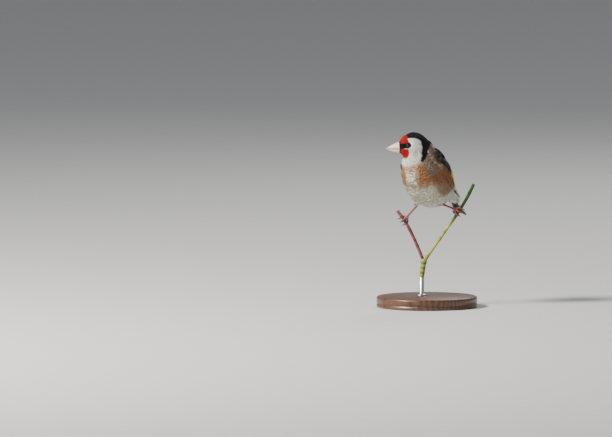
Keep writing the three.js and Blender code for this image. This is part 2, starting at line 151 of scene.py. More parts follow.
def newPiece(name, mesh, material, shadeSmooth=True):
    piece = bpy.data.objects.new(name, mesh)
    bpy.context.collection.objects.link(piece)
    mesh.materials.append(material)
    mesh.polygons.foreach_set("use_smooth", np.full(len(mesh.polygons), shadeSmooth))
    mesh.update()
    return piece


def meshFrom(name, points, faces):
    mesh = bpy.data.meshes.new(name)
    mesh.from_pydata([tuple(p) for p in points], [], [tuple(int(i) for i in f) for f in faces])
    return mesh


# A mesh of many like patches: faces is an array of corner numbers, with -1 after a triangle's three
def meshFromArrays(name, points, faces):
    mesh = bpy.data.meshes.new(name)
    counts = np.where(faces[:, 3] < 0, 3, 4)
    corners = faces[faces >= 0]
    mesh.vertices.add(len(points))
    mesh.vertices.foreach_set("co", points.astype(np.float32).ravel())
    mesh.loops.add(len(corners))
    mesh.loops.foreach_set("vertex_index", corners.astype(np.int32))
    mesh.polygons.add(len(faces))
    mesh.polygons.foreach_set("loop_start", np.concatenate([[0], np.cumsum(counts)[:-1]]).astype(np.int32))
    mesh.update(calc_edges=True)
    return mesh


def paint(mesh, colours, name="plumage"):
    layer = mesh.color_attributes.get(name) or mesh.color_attributes.new(name, "FLOAT_COLOR", "POINT")
    full = np.concatenate([colours, np.ones((len(colours), 1))], axis=1)
    layer.data.foreach_set("color", full.astype(np.float32).ravel())


def mapPoints(mesh, places):
    layer = mesh.uv_layers.new(name="OFBake")
    corners = np.empty(len(mesh.loops), np.int32)
    mesh.loops.foreach_get("vertex_index", corners)
    layer.data.foreach_set("uv", places[corners].astype(np.float32).ravel())


# Rings joined into a closed skin; every ring has the same number of points
def loftMesh(name, rings):
    rings = np.array(rings)
    count, sides = rings.shape[:2]
    points = rings.reshape(-1, 3)
    faces = []
    for ring in range(count - 1):
        for side in range(sides):
            a = ring * sides + side
            b = ring * sides + (side + 1) % sides
            faces.append((a, b, b + sides, a + sides))
    start, end = len(points), len(points) + 1
    last = (count - 1) * sides
    points = np.concatenate([points, rings[0].mean(0)[None], rings[-1].mean(0)[None]])
    for side in range(sides):
        after = (side + 1) % sides
        faces.append((start, after, side))
        faces.append((end, last + side, last + after))
    return meshFrom(name, points, faces)


# Points at given shares of a curve through a few points; the same kind of curve as the solids use
def curveAt(points, shares):
    points = np.array(points, float)
    steps = np.sqrt(np.linalg.norm(np.diff(points, axis=0), axis=1))
    before = 2 * points[0] - points[1]
    after = 2 * points[-1] - points[-2]
    full = np.concatenate([before[None], points, after[None]])
    gaps = np.concatenate([[steps[0]], steps, [steps[-1]]])
    place = np.clip(np.asarray(shares, float), 0, 1) * (len(points) - 1)
    first = np.minimum(place.astype(int), len(points) - 2)
    t = (place - first)[..., None]
    p0, p1, p2, p3 = (full[first + step] for step in range(4))
    g0, g1, g2 = (gaps[first + step][..., None] for step in range(3))
    m1 = ((p1 - p0) / g0 - (p2 - p0) / (g0 + g1) + (p2 - p1) / g1) * g1
    m2 = ((p2 - p1) / g1 - (p3 - p1) / (g1 + g2) + (p3 - p2) / g2) * g1
    towards = (2 * t**3 - 3 * t**2 + 1) * p1 + (t**3 - 2 * t**2 + t) * m1
    return towards + (3 * t**2 - 2 * t**3) * p2 + (t**3 - t**2) * m2


# The same curve, sampled evenly along its length
def curveThrough(points, samples):
    fine = curveAt(points, np.linspace(0, 1, 30 * len(points)))
    length = np.concatenate([[0], np.cumsum(np.linalg.norm(np.diff(fine, axis=0), axis=1))])
    wanted = np.linspace(0, length[-1], samples)
    return np.column_stack([np.interp(wanted, length, fine[:, axis]) for axis in range(3)])


# Frames carried along a path without twist: tangents, and two directions across it
def pathFrames(path, across=None):
    tangents = unit(np.gradient(path, axis=0))
    side = np.array(across if across is not None else np.cross(tangents[0], v3(0.31, 0.2, 0.93)), float)
    sides = []
    for tangent in tangents:
        side = unit(side - tangent * (side @ tangent))
        sides.append(side)
    sides = np.array(sides)
    return tangents, sides, np.cross(tangents, sides)


def tubeRings(path, radii, sides, across):
    _, side, over = pathFrames(path, across)
    turn = np.arange(sides) / sides * 2 * math.pi
    return [
        p + np.outer(np.cos(turn), s) * r + np.outer(np.sin(turn), o) * r
        for p, s, o, r in zip(path, side, over, np.broadcast_to(radii, len(path)))
    ]


# Shader groups


def nodeGroup(name, inputs, outputs):
    group = bpy.data.node_groups.new(name, "ShaderNodeTree")
    for label, kind, value in inputs:
        socket = group.interface.new_socket(name=label, in_out="INPUT", socket_type=kind)
        if value is not None:
            socket.default_value = value
    for label, kind in outputs:
        group.interface.new_socket(name=label, in_out="OUTPUT", socket_type=kind)
    return group, group.nodes.new("NodeGroupInput"), group.nodes.new("NodeGroupOutput")


def addNode(tree, kind, settings=None, **inputs):
    node = tree.nodes.new(kind)
    for key, value in (settings or {}).items():
        setattr(node, key, value)
    for label, value in inputs.items():
        socket = node.inputs[int(label[1:]) if label[1:].isdigit() else label.replace("_", " ")]
        if isinstance(value, bpy.types.NodeSocket):
            tree.links.new(value, socket)
        else:
            socket.default_value = value
    return node


def mathNode(tree, operation, *values):
    inputs = {f"i{n}": value for n, value in enumerate(values)}
    return addNode(tree, "ShaderNodeMath", {"operation": operation}, **inputs).outputs[0]


def scaleColour(tree, colour, gain):
    return addNode(tree, "ShaderNodeVectorMath", {"operation": "SCALE"}, i0=colour, Scale=gain).outputs[0]


# Soft mottling of a colour, darker and lighter, at a given grain size
def makeMottle():
    inputs = [
        ("Colour", "NodeSocketColor", (1, 1, 1, 1)),
        ("Grain", "NodeSocketFloat", 900.0),
        ("Strength", "NodeSocketFloat", 0.2),
    ]
    outputs = [("Colour", "NodeSocketColor"), ("Height", "NodeSocketFloat")]
    group, source, result = nodeGroup("softMottle", inputs, outputs)
    place = addNode(group, "ShaderNodeTexCoord").outputs["Object"]
    grain = source.outputs["Grain"]
    noise = addNode(group, "ShaderNodeTexNoise", Vector=place, Scale=grain, Detail=4.0, Roughness=0.6)
    centred = mathNode(group, "SUBTRACT", noise.outputs["Fac"], 0.5)
    strength = mathNode(group, "MULTIPLY", source.outputs["Strength"], 2.0)
    gain = mathNode(group, "MULTIPLY_ADD", centred, strength, 1.0)
    group.links.new(scaleColour(group, source.outputs["Colour"], gain), result.inputs["Colour"])
    group.links.new(noise.outputs["Fac"], result.inputs["Height"])
    return group


# Fine slanting barbs on both sides of a feather's shaft, from its own frame of millimetres along and across
def makeBarbs():
    group, source, result = nodeGroup(
        "featherBarbs",
        [("Spacing", "NodeSocketFloat", 0.3), ("Slant", "NodeSocketFloat", 1.6)],
        [("Height", "NodeSocketFloat"), ("Shade", "NodeSocketFloat")],
    )
    own = addNode(group, "ShaderNodeAttribute", {"attribute_name": "vaneFrame"})
    parts = addNode(group, "ShaderNodeSeparateXYZ", i0=own.outputs["Vector"])
    out = mathNode(group, "ABSOLUTE", parts.outputs[1])
    lag = mathNode(group, "MULTIPLY", out, source.outputs["Slant"])
    slanted = mathNode(group, "SUBTRACT", parts.outputs[0], lag)
    turns = mathNode(group, "DIVIDE", slanted, source.outputs["Spacing"])
    wave = mathNode(group, "SINE", mathNode(group, "MULTIPLY", turns, 2 * math.pi))
    group.links.new(wave, result.inputs["Height"])
    # painted shade: the colour is darker in the grooves between the barbs and lighter on their crests
    shade = mathNode(group, "MULTIPLY_ADD", wave, 0.06, 0.97)
    group.links.new(shade, result.inputs["Shade"])
    return group


# Small plates of horny skin, such as those on a foot
def makeScales():
    group, source, result = nodeGroup(
        "hornyScales",
        [("Size", "NodeSocketFloat", 1400.0)],
        [("Height", "NodeSocketFloat"), ("Crease", "NodeSocketFloat")],
    )
    place = addNode(group, "ShaderNodeTexCoord").outputs["Object"]
    size = source.outputs["Size"]
    cells = addNode(group, "ShaderNodeTexVoronoi", {"feature": "DISTANCE_TO_EDGE"}, Vector=place, Scale=size)
    crease = mathNode(group, "SMOOTH_MIN", cells.outputs["Distance"], 0.12, 0.05)
    group.links.new(crease, result.inputs["Height"])
    group.links.new(mathNode(group, "MULTIPLY", crease, 8.0), result.inputs["Crease"])
    return group


softMottle = makeMottle()
featherBarbs = makeBarbs()
hornyScales = makeScales()


def newMaterial(name, **values):
    material = bpy.data.materials.new(name)
    material.use_nodes = True
    tree = material.node_tree
    shader = tree.nodes["Principled BSDF"]
    for label, value in values.items():
        shader.inputs[label.replace("_", " ")].default_value = value
    return material, tree, shader


def placeGroup(tree, group, **inputs):
    return addNode(tree, "ShaderNodeGroup", {"node_tree": group}, **inputs)


def bumpFrom(tree, shader, height, strength, distance):
    bump = addNode(tree, "ShaderNodeBump", Height=height, Strength=strength, Distance=distance)
    tree.links.new(bump.outputs["Normal"], shader.inputs["Normal"])


# A material whose colour comes from the piece's own painted markings, mottled; bumpDepth is in metres
def paintedMaterial(name, grain, strength, bump, bumpDepth=0.0002, **values):
    material, tree, shader = newMaterial(name, **values)
    marks = addNode(tree, "ShaderNodeAttribute", {"attribute_name": "plumage"})
    mottle = placeGroup(tree, softMottle, Colour=marks.outputs["Color"], Grain=grain, Strength=strength)
    tree.links.new(mottle.outputs["Colour"], shader.inputs["Base Color"])
    bumpFrom(tree, shader, mottle.outputs["Height"], bump, bumpDepth)
    return material


coatMaterial = paintedMaterial(
    "coatFeathers", grain=1500.0, strength=0.16, bump=0.25,
    Roughness=0.85, Specular_IOR_Level=0.14, Sheen_Weight=0.07, Sheen_Roughness=0.4,
)
skinMaterial = paintedMaterial(
    "downySkin", grain=2200.0, strength=0.2, bump=0.5, Roughness=0.95, Specular_IOR_Level=0.1
)
flight = {"spacing": 0.26, "slant": 1.5, "bump": 0.35, "bumpDepth": 0.00006}


def makeFlightMaterial():
    material = paintedMaterial(
        "flightFeathers", grain=1100.0, strength=0.1, bump=0.0,
        Roughness=0.5, Specular_IOR_Level=0.4, Sheen_Weight=0.08,
    )
    tree = material.node_tree
    shader = tree.nodes["Principled BSDF"]
    mottled = shader.inputs["Base Color"].links[0].from_socket
    barbs = placeGroup(tree, featherBarbs, Spacing=flight["spacing"], Slant=flight["slant"])
    # painted shade of the barbs' grooves darkens the mottled colour
    tree.links.new(scaleColour(tree, mottled, barbs.outputs["Shade"]), shader.inputs["Base Color"])
    bumpFrom(tree, shader, barbs.outputs["Height"], flight["bump"], flight["bumpDepth"])
    return material


flightMaterial = makeFlightMaterial()
print("materials of the plumage made")


# Skin: the flesh solids made into one smooth body, drawn in by the depth of the coat

skin = {
    "nodes": ["head", "neck", "torso", "thigh_left", "thigh_right"],
    "filledBy": ["bill_upper", "bill_lower", "eye_left", "eye_right"],  # stop their own sockets
    "closeGap": 0.35,  # mm that each solid swells so that the cuts between them close
    "grain": 0.55,  # mm
    "smoothing": 14,
    "bodyDepth": 1.15,  # mm from the outside of the coat to the skin
    "faceDepth": 0.5,
    "depthReach": (11, 22),  # mm from the head's centre, where the face's depth turns into the body's
    "billCore": (10.5, 12.5),  # mm forward, where what is under the bill draws in
    "billAxis": (11.5, 0.2),  # forward and up
    "billDraw": (0.6, 0.5, 0.5),  # share drawn in along, across and upwards
    "island": 0.004,  # of the unwrap, between its islands
}
# The root of the tail, which its solid holds together with its feathers: place, half width, half height
rump = {
    "stations": [
        ((0, 17, -3), 11, 8.5),
        ((0, 22.6, -8.6), 8.6, 7.6),
        ((0, 28, -12.8), 5.8, 5.8),
        ((0, 33.5, -17.4), 3.4, 3.4),
    ],
    "over": (0, 0.75, 0.66),
    "sides": 24,
}


def rumpMesh():
    turn = np.linspace(0, 2 * math.pi, rump["sides"], endpoint=False)
    rings = []
    for place, wide, tall in rump["stations"]:
        across = np.outer(np.cos(turn), v3(-wide, 0, 0)) * mm
        rings.append(inBody(*place) + across + np.outer(np.sin(turn), v3(*rump["over"])) * tall * mm)
    return loftMesh("rump", rings)


def makeSkin():
    merged = bmesh.new()
    for name in skin["nodes"] + skin["filledBy"]:
        merged.from_mesh(nodes[name].data)
    merged.from_mesh(rumpMesh())
    bmesh.ops.recalc_face_normals(merged, faces=merged.faces)
    merged.normal_update()
    for vertex in merged.verts:
        vertex.co += vertex.normal * skin["closeGap"] * mm
    mesh = bpy.data.meshes.new("skinDraft")
    merged.to_mesh(mesh)
    merged.free()
    draft = bpy.data.objects.new("skinDraft", mesh)
    bpy.context.collection.objects.link(draft)
    remesh = draft.modifiers.new("remesh", "REMESH")
    remesh.mode = "VOXEL"
    remesh.voxel_size = skin["grain"] * mm
    soften = draft.modifiers.new("soften", "CORRECTIVE_SMOOTH")
    soften.iterations = skin["smoothing"]
    soften.use_only_smooth = True
    solid = bpy.data.meshes.new_from_object(draft.evaluated_get(bpy.context.evaluated_depsgraph_get()))
    bpy.data.objects.remove(draft)
    points = np.empty(len(solid.vertices) * 3, np.float32)
    normals = np.empty(len(solid.vertices) * 3, np.float32)
    solid.vertices.foreach_get("co", points)
    solid.vertex_normals.foreach_get("vector", normals)
    points, normals = points.reshape(-1, 3).astype(float), normals.reshape(-1, 3)
    away = np.linalg.norm(points - headCentre, axis=1) / mm
    depth = mix(skin["faceDepth"], skin["bodyDepth"], smooth(away, *skin["depthReach"])) + skin["closeGap"]
    points -= normals * depth[:, None] * mm
    forward, left, up = inHead(points)
    inBill = smooth(forward, *skin["billCore"])
    drawn = [share * inBill for share in skin["billDraw"]]
    forward = mix(forward, skin["billAxis"][0], drawn[0])[:, None] * headForward
    left = (left * (1 - drawn[1]))[:, None] * headLeft
    points = headCentre + (forward + left + mix(up, skin["billAxis"][1], drawn[2])[:, None] * headUp) * mm
    solid.vertices.foreach_set("co", points.astype(np.float32).ravel())
    solid.update()
    return solid, points


# The skin's own unwrap, which the coat's roots are placed on too
def unwrapSkin(piece):
    bpy.ops.object.select_all(action="DESELECT")
    piece.select_set(True)
    bpy.context.view_layer.objects.active = piece
    piece.data.uv_layers.new(name="OFBake")
    bpy.ops.object.mode_set(mode="EDIT")
    bpy.ops.mesh.select_all(action="SELECT")
    bpy.ops.uv.smart_project(angle_limit=math.radians(70), island_margin=skin["island"])
    bpy.ops.object.mode_set(mode="OBJECT")


skinMesh, skinPoints = makeSkin()
skinPiece = newPiece("skin", skinMesh, skinMaterial)
unwrapSkin(skinPiece)
skinTree = BVHTree.FromObject(skinPiece, bpy.context.evaluated_depsgraph_get())
print("skin made,", len(skinMesh.polygons), "faces")


def treeOf(*names):
    merged = bmesh.new()
    for name in names:
        merged.from_mesh(nodes[name].data)
    tree = BVHTree.FromBMesh(merged)
    merged.free()
    return tree


# Nearest places and normals on a tree's surface
def nearestOn(tree, points):
    found = [tree.find_nearest(Vector(p)) for p in points.reshape(-1, 3)]
    places = np.array([f[0] for f in found]).reshape(points.shape)
    return places, np.array([f[1] for f in found]).reshape(points.shape)


# Markings: one rule for skin and coat

ink = {
    "red": rgb("c4121c"),
    "deepRed": rgb("8a0c12"),
    "black": rgb("100f13"),
    "white": rgb("f3efe9"),
    "cheek": rgb("e6ddd4"),
    "tawny": rgb("8f6040"),
    "breast": rgb("ad7a50"),
    "nape": rgb("8d7a68"),
    "mantle": rgb("8f643f"),
    "belly": rgb("e6dfc8"),
    "gold": rgb("f0c012"),
}


# Edges of the markings in millimetres: a pair of values fades a marking in, and two more fade it out again
trunkMarks = {
    "wander": (0.35, 0.9),  # mm that the edges wander, and how often in a millimetre
    "band": (4.5, 9, 12.5, 16),  # heights of the buff band over the chest
    "lowBand": (-9, -6, -4, -1.5),
    "bandShares": (0.66, 0.5),
    "stripe": (2.2, 8.4),  # half width of the white down the breast
    "patchFoot": (-13, -4.5),
    "footSlope": 0.35,  # mm that the foot of a patch rises for each one outwards
    "patchTop": (12.5, 18),
    "patchBack": (5, 25),  # degrees from the side towards the back
    "flank": ((12, 16), (-17, -10), (-45, -20)),  # out, up and round
    "mantle": ((0, 18), (-14, -8)),  # round and along the trunk
    "rump": (11, 16),
    "neckBack": ((-38, -22), (8, 15)),
}
headMarks = {
    "reach": 19.5,  # mm from the head's centre
    "trunkEnd": 9,
    "throat": ((16.5, 18.8), (-7.5, -5.5)),
    "face": ((-9, -8), (-12.5, -9.5)),
    "spot": ((-2.2, 3.2), (-4.5, 3)),  # middle and size of the shade on the cheek, forward and up
    "spotColour": (0.86, 0.72, 0.66),
    "collarFront": (
        [-11, -6.5, -1, 2.5, 5, 6.8, 8, 8.8, 9.4, 12],
        [-5.6, -6.4, -6.8, -6.6, -6.1, -5.2, -3.6, -1, 2, 4],
    ),
    "collarBack": ([-11, -6.5, -2, 2, 5, 14], [-8.2, -10.6, -13, -14.8, -19, -19]),
    "collarFoot": (-12, -10.3),
    "crown": ((8.4, 9.2), (6.2, 7)),
    "nape": ((12, 14), (1.5, 3)),
    "middle": (3, 5),  # half width of the back of the head
}
maskMarks = {
    "brow": (4.1, 5.5, 0.3),  # forward edge, the height over which it slopes, and its slope
    "browFoot": (3, 3.6),
    "chinEdge": ([-9.6, -8.8, -7.6, -6, -3, 0], [8.6, 6.4, 5.0, 4.2, 3.8, 4.3]),
    "chinTop": (0, 0.6),
    "chinFoot": (8.2, 9.4),
    "edge": (-0.35, 0.35),
    "loreHalf": ([1, 2.8, 4.4, 7, 9.5, 12], [0, 1.7, 2.7, 2.1, 2.2, 2.6]),
    "loreMiddle": ([1, 4.4, 12], [2.4, 2.7, 1.2]),
    "loreEnds": ((0.8, 2), (2.2, 3.4)),
    "rim": (4.5, 5.9, 1),  # half width, half height and middle of the black round the bill
}


def wave(points, scale, seed):
    turn = np.random.default_rng(seed)
    value = np.zeros(len(points))
    for octave in range(3):
        push = turn.normal(size=(3, 3)) * scale * 1.7**octave
        phase = turn.uniform(0, 6.28, 3)
        value += np.sin(points / mm @ push.T + phase).sum(1) / (3 * 1.6**octave)
    return value


def blend(base, colour, share):
    return base + (colour - base) * np.clip(share, 0, 1)[:, None]


# Mantle above, tawny patches on the sides of a white breast, white belly and rump
def trunkColours(points, ragged):
    marks = trunkMarks
    local = (points - bodyCentre) / mm
    x, z = np.abs(local[:, 0]), local[:, 2]
    along, back = local @ trunkAxis, local @ trunkBack
    around = np.degrees(np.arctan2(back, x))
    height = z + 2 * ragged
    colour = np.broadcast_to(ink["belly"], points.shape).copy()
    high = smooth(z + 3 * ragged, *marks["band"][:2]) * (1 - smooth(height, *marks["band"][2:]))
    low = smooth(height, *marks["lowBand"][:2]) * (1 - smooth(height, *marks["lowBand"][2:]))
    highShare, lowShare = marks["bandShares"]
    bands = np.maximum(highShare * high, lowShare * low)
    stripe = np.maximum(smooth(x + 2.2 * ragged, *marks["stripe"]), bands)
    foot = [edge + marks["footSlope"] * x for edge in marks["patchFoot"]]
    patch = stripe * smooth(height, *foot) * (1 - smooth(z + 3 * ragged, *marks["patchTop"]))
    colour = blend(colour, ink["breast"], patch * (1 - smooth(around, *marks["patchBack"])))
    out, up, turned = marks["flank"]
    flank = smooth(x, *out) * smooth(z, *up) * smooth(around, *turned)
    colour = blend(colour, ink["tawny"], 0.8 * flank)
    turned, reach = marks["mantle"]
    colour = blend(colour, ink["mantle"], smooth(around + 5 * ragged, *turned) * smooth(along, *reach))
    colour = blend(colour, ink["white"], smooth(-along, *marks["rump"]))
    turned, reach = marks["neckBack"]
    return blend(colour, ink["nape"], smooth(around, *turned) * smooth(along, *reach))


# White face in front of a black crown and collar
def faceColours(colour, points, near, ragged):
    marks = headMarks
    forward, left, up = inHead(points)
    side = np.abs(left)
    away, ahead = marks["throat"]
    throat = near * (1 - smooth(np.linalg.norm(points - headCentre, axis=1) / mm, *away))
    colour = blend(colour, ink["white"], throat * smooth(forward, *ahead))
    ahead, height = marks["face"]
    colour = blend(colour, ink["white"], near * smooth(forward + ragged, *ahead) * smooth(up, *height))
    (place, long), (level, tall) = marks["spot"]
    spot = np.exp(-(((forward - place) / long) ** 2 + ((up - level) / tall) ** 2)) * near
    spot = spot + 0.5 * near * smooth(wave(points, 0.7, 5), 0.25, 0.9) * smooth(-up, -1, 3)
    colour = blend(colour, ink["cheek"] * v3(*marks["spotColour"]), 0.55 * spot)
    front = np.interp(up, *marks["collarFront"])
    behind = np.interp(up, *marks["collarBack"])
    collar = smooth(front - forward + ragged, -0.4, 0.4) * smooth(forward - behind + ragged, -0.5, 0.5)
    ahead, under = marks["nape"]
    parted = np.maximum(smooth(side, *marks["middle"]), smooth(up, *under))
    collar *= smooth(up, *marks["collarFoot"]) * parted
    height, edge = marks["crown"]
    crown = smooth(up + 0.6 * ragged + 0.04 * forward, *height) * (1 - smooth(forward + 0.3 * ragged, *edge))
    colour = blend(colour, ink["black"], near * np.maximum(collar, crown))
    nape = near * smooth(-forward, *ahead) * (1 - smooth(up, *under)) * (1 - smooth(side, *marks["middle"]))
    return blend(colour, ink["cheek"], 0.7 * nape)


# Red mask in two fields, parted by the black lore that runs from the bill through the eye
def maskColours(colour, points, near, ragged):
    marks = maskMarks
    forward, left, up = inHead(points)
    start, level, slope = marks["brow"]
    brow = smooth(forward - (start + slope * np.maximum(up - level, 0)) + 0.6 * ragged, *marks["edge"])
    brow = brow * smooth(up, *marks["browFoot"])
    chin = smooth(forward - np.interp(up, *marks["chinEdge"]) + 0.6 * ragged, *marks["edge"])
    chin = chin * smooth(-up, *marks["chinTop"]) * (1 - smooth(-up, *marks["chinFoot"]))
    red = mix(ink["red"], ink["deepRed"], 0.25)
    colour = blend(colour, red, near * np.maximum(brow, chin))
    half, middle = (np.interp(forward, *marks[name]) for name in ("loreHalf", "loreMiddle"))
    lore = smooth(half - np.abs(up - middle) + 0.4 * ragged, -0.3, 0.3)
    ahead, out = marks["loreEnds"]
    lore *= smooth(forward, *ahead) * smooth(np.abs(left), *out)
    wide, tall, level = marks["rim"]
    rim = 1 - smooth(np.hypot(left / wide, (up - level) / tall) + 0.08 * ragged, 0.94, 1.06)
    return blend(colour, ink["black"], near * np.maximum(lore, rim * smooth(forward, 8, 9)))


def plumage(points):
    size, often = trunkMarks["wander"]
    ragged = size * wave(points, often, 3)
    along = (points - bodyCentre) / mm @ trunkAxis
    near = np.linalg.norm(points - headCentre, axis=1) / mm < headMarks["reach"]
    near = near & (along > headMarks["trunkEnd"])
    colour = trunkColours(points, ragged)
    colour = faceColours(colour, points, near, ragged)
    return maskColours(colour, points, near, ragged)


# painted shade: the skin that shows between the feathers lies in their shade, so it is painted darker
skinPaintedShade = 0.8  # the skin is darker than the coat that it shows through
paint(skinMesh, plumage(skinPoints) * skinPaintedShade)
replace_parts(skinPiece, *skin["nodes"])
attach(skinPiece, "root")


# Coat: small feathers, each a fan of pointed locks, rooted in the skin and laid along its lie

coat = {
    "samples": 150000,
    "stations": 5,  # of a feather's centre line
    "stray": 0.13,  # radians that a feather lies off its neighbours' way
    "bodySpacing": 1.2,  # mm between roots
    "headSpacing": 0.66,
    "faceSpacing": 0.5,
    "bodyLength": 6.2,
    "rumpLength": 8.5,
    "headLength": 2.6,
    "faceLength": 1.25,
    "bodyWidth": 3.0,
    "headWidth": 1.5,
    "faceWidth": 0.95,
    "bodyLift": 0.95,  # mm that a feather's tip stands over the skin
    "rumpLift": 1.3,
    "mantleLift": 2.3,
    "headLift": 0.4,
    "faceLift": 0.24,
    "patch": 0.003,  # of the unwrap, for one feather
    "headSink": 0.15,  # mm that a feather's root lies under the skin
    "bodySink": 0.3,
    "spacingReach": (13, 21),  # mm from the head's centre, where the head's spacing turns into the body's
    "sizeReach": (13, 24),
    "lieReach": (9, 21),
    "faceReach": (14, 17),
    "fluffReach": (11, 22),  # mm down the trunk, where the long loose feathers of rump and vent begin
    "eyeClear": 2.7,  # mm from the middle of an eye to the nearest root
    "tipClear": 2.5,
}
# A lock of a feather: share of length, half width and ridge at its rings, its faces, and shade at its corners
lock = {
    "rings": [(0.0, 0.9, 0.04), (0.62, 1.3, 0.06), (1.0, 0.0, 0.0)],
    "sides": [(0, 3, 4, 1), (1, 4, 5, 2), (2, 5, 3, 0)],
    "ends": [(3, 6, 4, -1), (4, 6, 5, -1), (5, 6, 3, -1), (0, 1, 2, -1)],
    # painted shade and light: the root ring is darker for the grey down at a feather's base and for painted
    # shade under the feathers over it, and the ridge and tip are painted lighter where they stand out
    "shade": [0.6, 0.6, 0.6, 0.93, 0.96, 0.93, 1.04],
    "fan": 2.6,  # mm of width at which a feather rolls down at its sides by its full roll
    "sideShort": 0.2,  # share by which the outermost locks are shorter
    "shortest": 0.5,
    "unevenPlace": 0.5,  # of the step between two locks
    "unevenReach": 0.06,
    "unevenRise": 0.015,  # mm
    "unevenShade": (0.04, 0.045),  # from feather to feather, and from lock to lock
}
bodyLie = unit(v3(0, 0.75, -0.66))
thighs = {side: (boxMiddle("shank_" + side), boxMiddle("thigh_" + side)) for side in ("left", "right")}


def distanceTo(points, place):
    return np.linalg.norm(points - place, axis=-1) / mm


def eyeDistance(points):
    return np.minimum(distanceTo(points, boxMiddle("eye_left")), distanceTo(points, boxMiddle("eye_right")))


# Direction in which feathers lie at places on the skin
def lieAt(points, normals):
    away = distanceTo(points, headCentre)[..., None]
    lie = mix(unit(points - onHead(12.5, 0, 1)), bodyLie, smooth(away, *coat["lieReach"]))
    for shankMiddle, thighMiddle in thighs.values():
        near = distanceTo(points, thighMiddle)[..., None] + 1.5 * (points[..., 2:] - thighMiddle[2]) / mm
        lie = mix(lie, unit(shankMiddle - thighMiddle), 0.8 * (1 - smooth(near, 1, 8)))
    lie = lie - normals * (lie * normals).sum(-1, keepdims=True)
    return unit(lie)


# Even but irregular roots, with their places on the unwrap
def sampleRoots():
    skinMesh.calc_loop_triangles()
    corners = np.empty(len(skinMesh.loop_triangles) * 3, np.int32)
    loops = np.empty_like(corners)
    skinMesh.loop_triangles.foreach_get("vertices", corners)
    skinMesh.loop_triangles.foreach_get("loops", loops)
    unwrap = np.empty(len(skinMesh.loops) * 2, np.float32)
    skinMesh.uv_layers["OFBake"].data.foreach_get("uv", unwrap)
    triangles = skinPoints[corners.reshape(-1, 3)]
    charts = unwrap.reshape(-1, 2)[loops.reshape(-1, 3)]
    edges = triangles[:, 1] - triangles[:, 0], triangles[:, 2] - triangles[:, 0]
    area = np.linalg.norm(np.cross(*edges), axis=1)
    chosen = rng.choice(len(area), coat["samples"], p=area / area.sum())
    share = rng.random((coat["samples"], 2))
    share = np.where(share.sum(1, keepdims=True) > 1, 1 - share, share)
    weights = np.column_stack([1 - share.sum(1), share])[:, :, None]
    places = (triangles[chosen] * weights).sum(1)
    charted = (charts[chosen] * weights).sum(1)
    away = distanceTo(places, headCentre)
    forward = inHead(places)[0]
    spacing = mix(coat["headSpacing"], coat["bodySpacing"], smooth(away, *coat["spacingReach"]))
    inFace = smooth(forward, 2, 7) * (1 - smooth(away, *coat["faceReach"]))
    spacing = mix(spacing, coat["faceSpacing"], inFace)
    keep = np.ones(len(places), bool)
    tree = KDTree(len(places))
    for index, place in enumerate(places):
        tree.insert(place, index)
    tree.balance()
    for index in range(len(places)):
        if keep[index]:
            for _, other, _ in tree.find_range(places[index], spacing[index] * mm):
                if other > index:
                    keep[other] = False
    return places[keep], charted[keep]


# Centre lines that walk over the skin from each root
def walkSkin(roots, length):
    stations = coat["stations"]
    places, normals = nearestOn(skinTree, roots)
    lines, ups = [places], [normals]
    turn = rng.normal(0, coat["stray"], (len(roots), 1))
    for _ in range(stations - 1):
        lie = lieAt(places, normals)
        lie = unit(lie + np.cross(normals, lie) * turn)
        places, normals = nearestOn(skinTree, places + lie * (length * mm / (stations - 1))[:, None])
        lines.append(places)
        ups.append(normals)
    return np.stack(lines, 1), np.stack(ups, 1)


def alongLine(values, share):
    place = np.clip(share, 0, 1) * (values.shape[1] - 1)
    low = np.minimum(place.astype(int), values.shape[1] - 2)
    part = (place - low)[..., None]
    rows = np.arange(len(values))[:, None]
    return mix(values[rows, low], values[rows, low + 1], part)


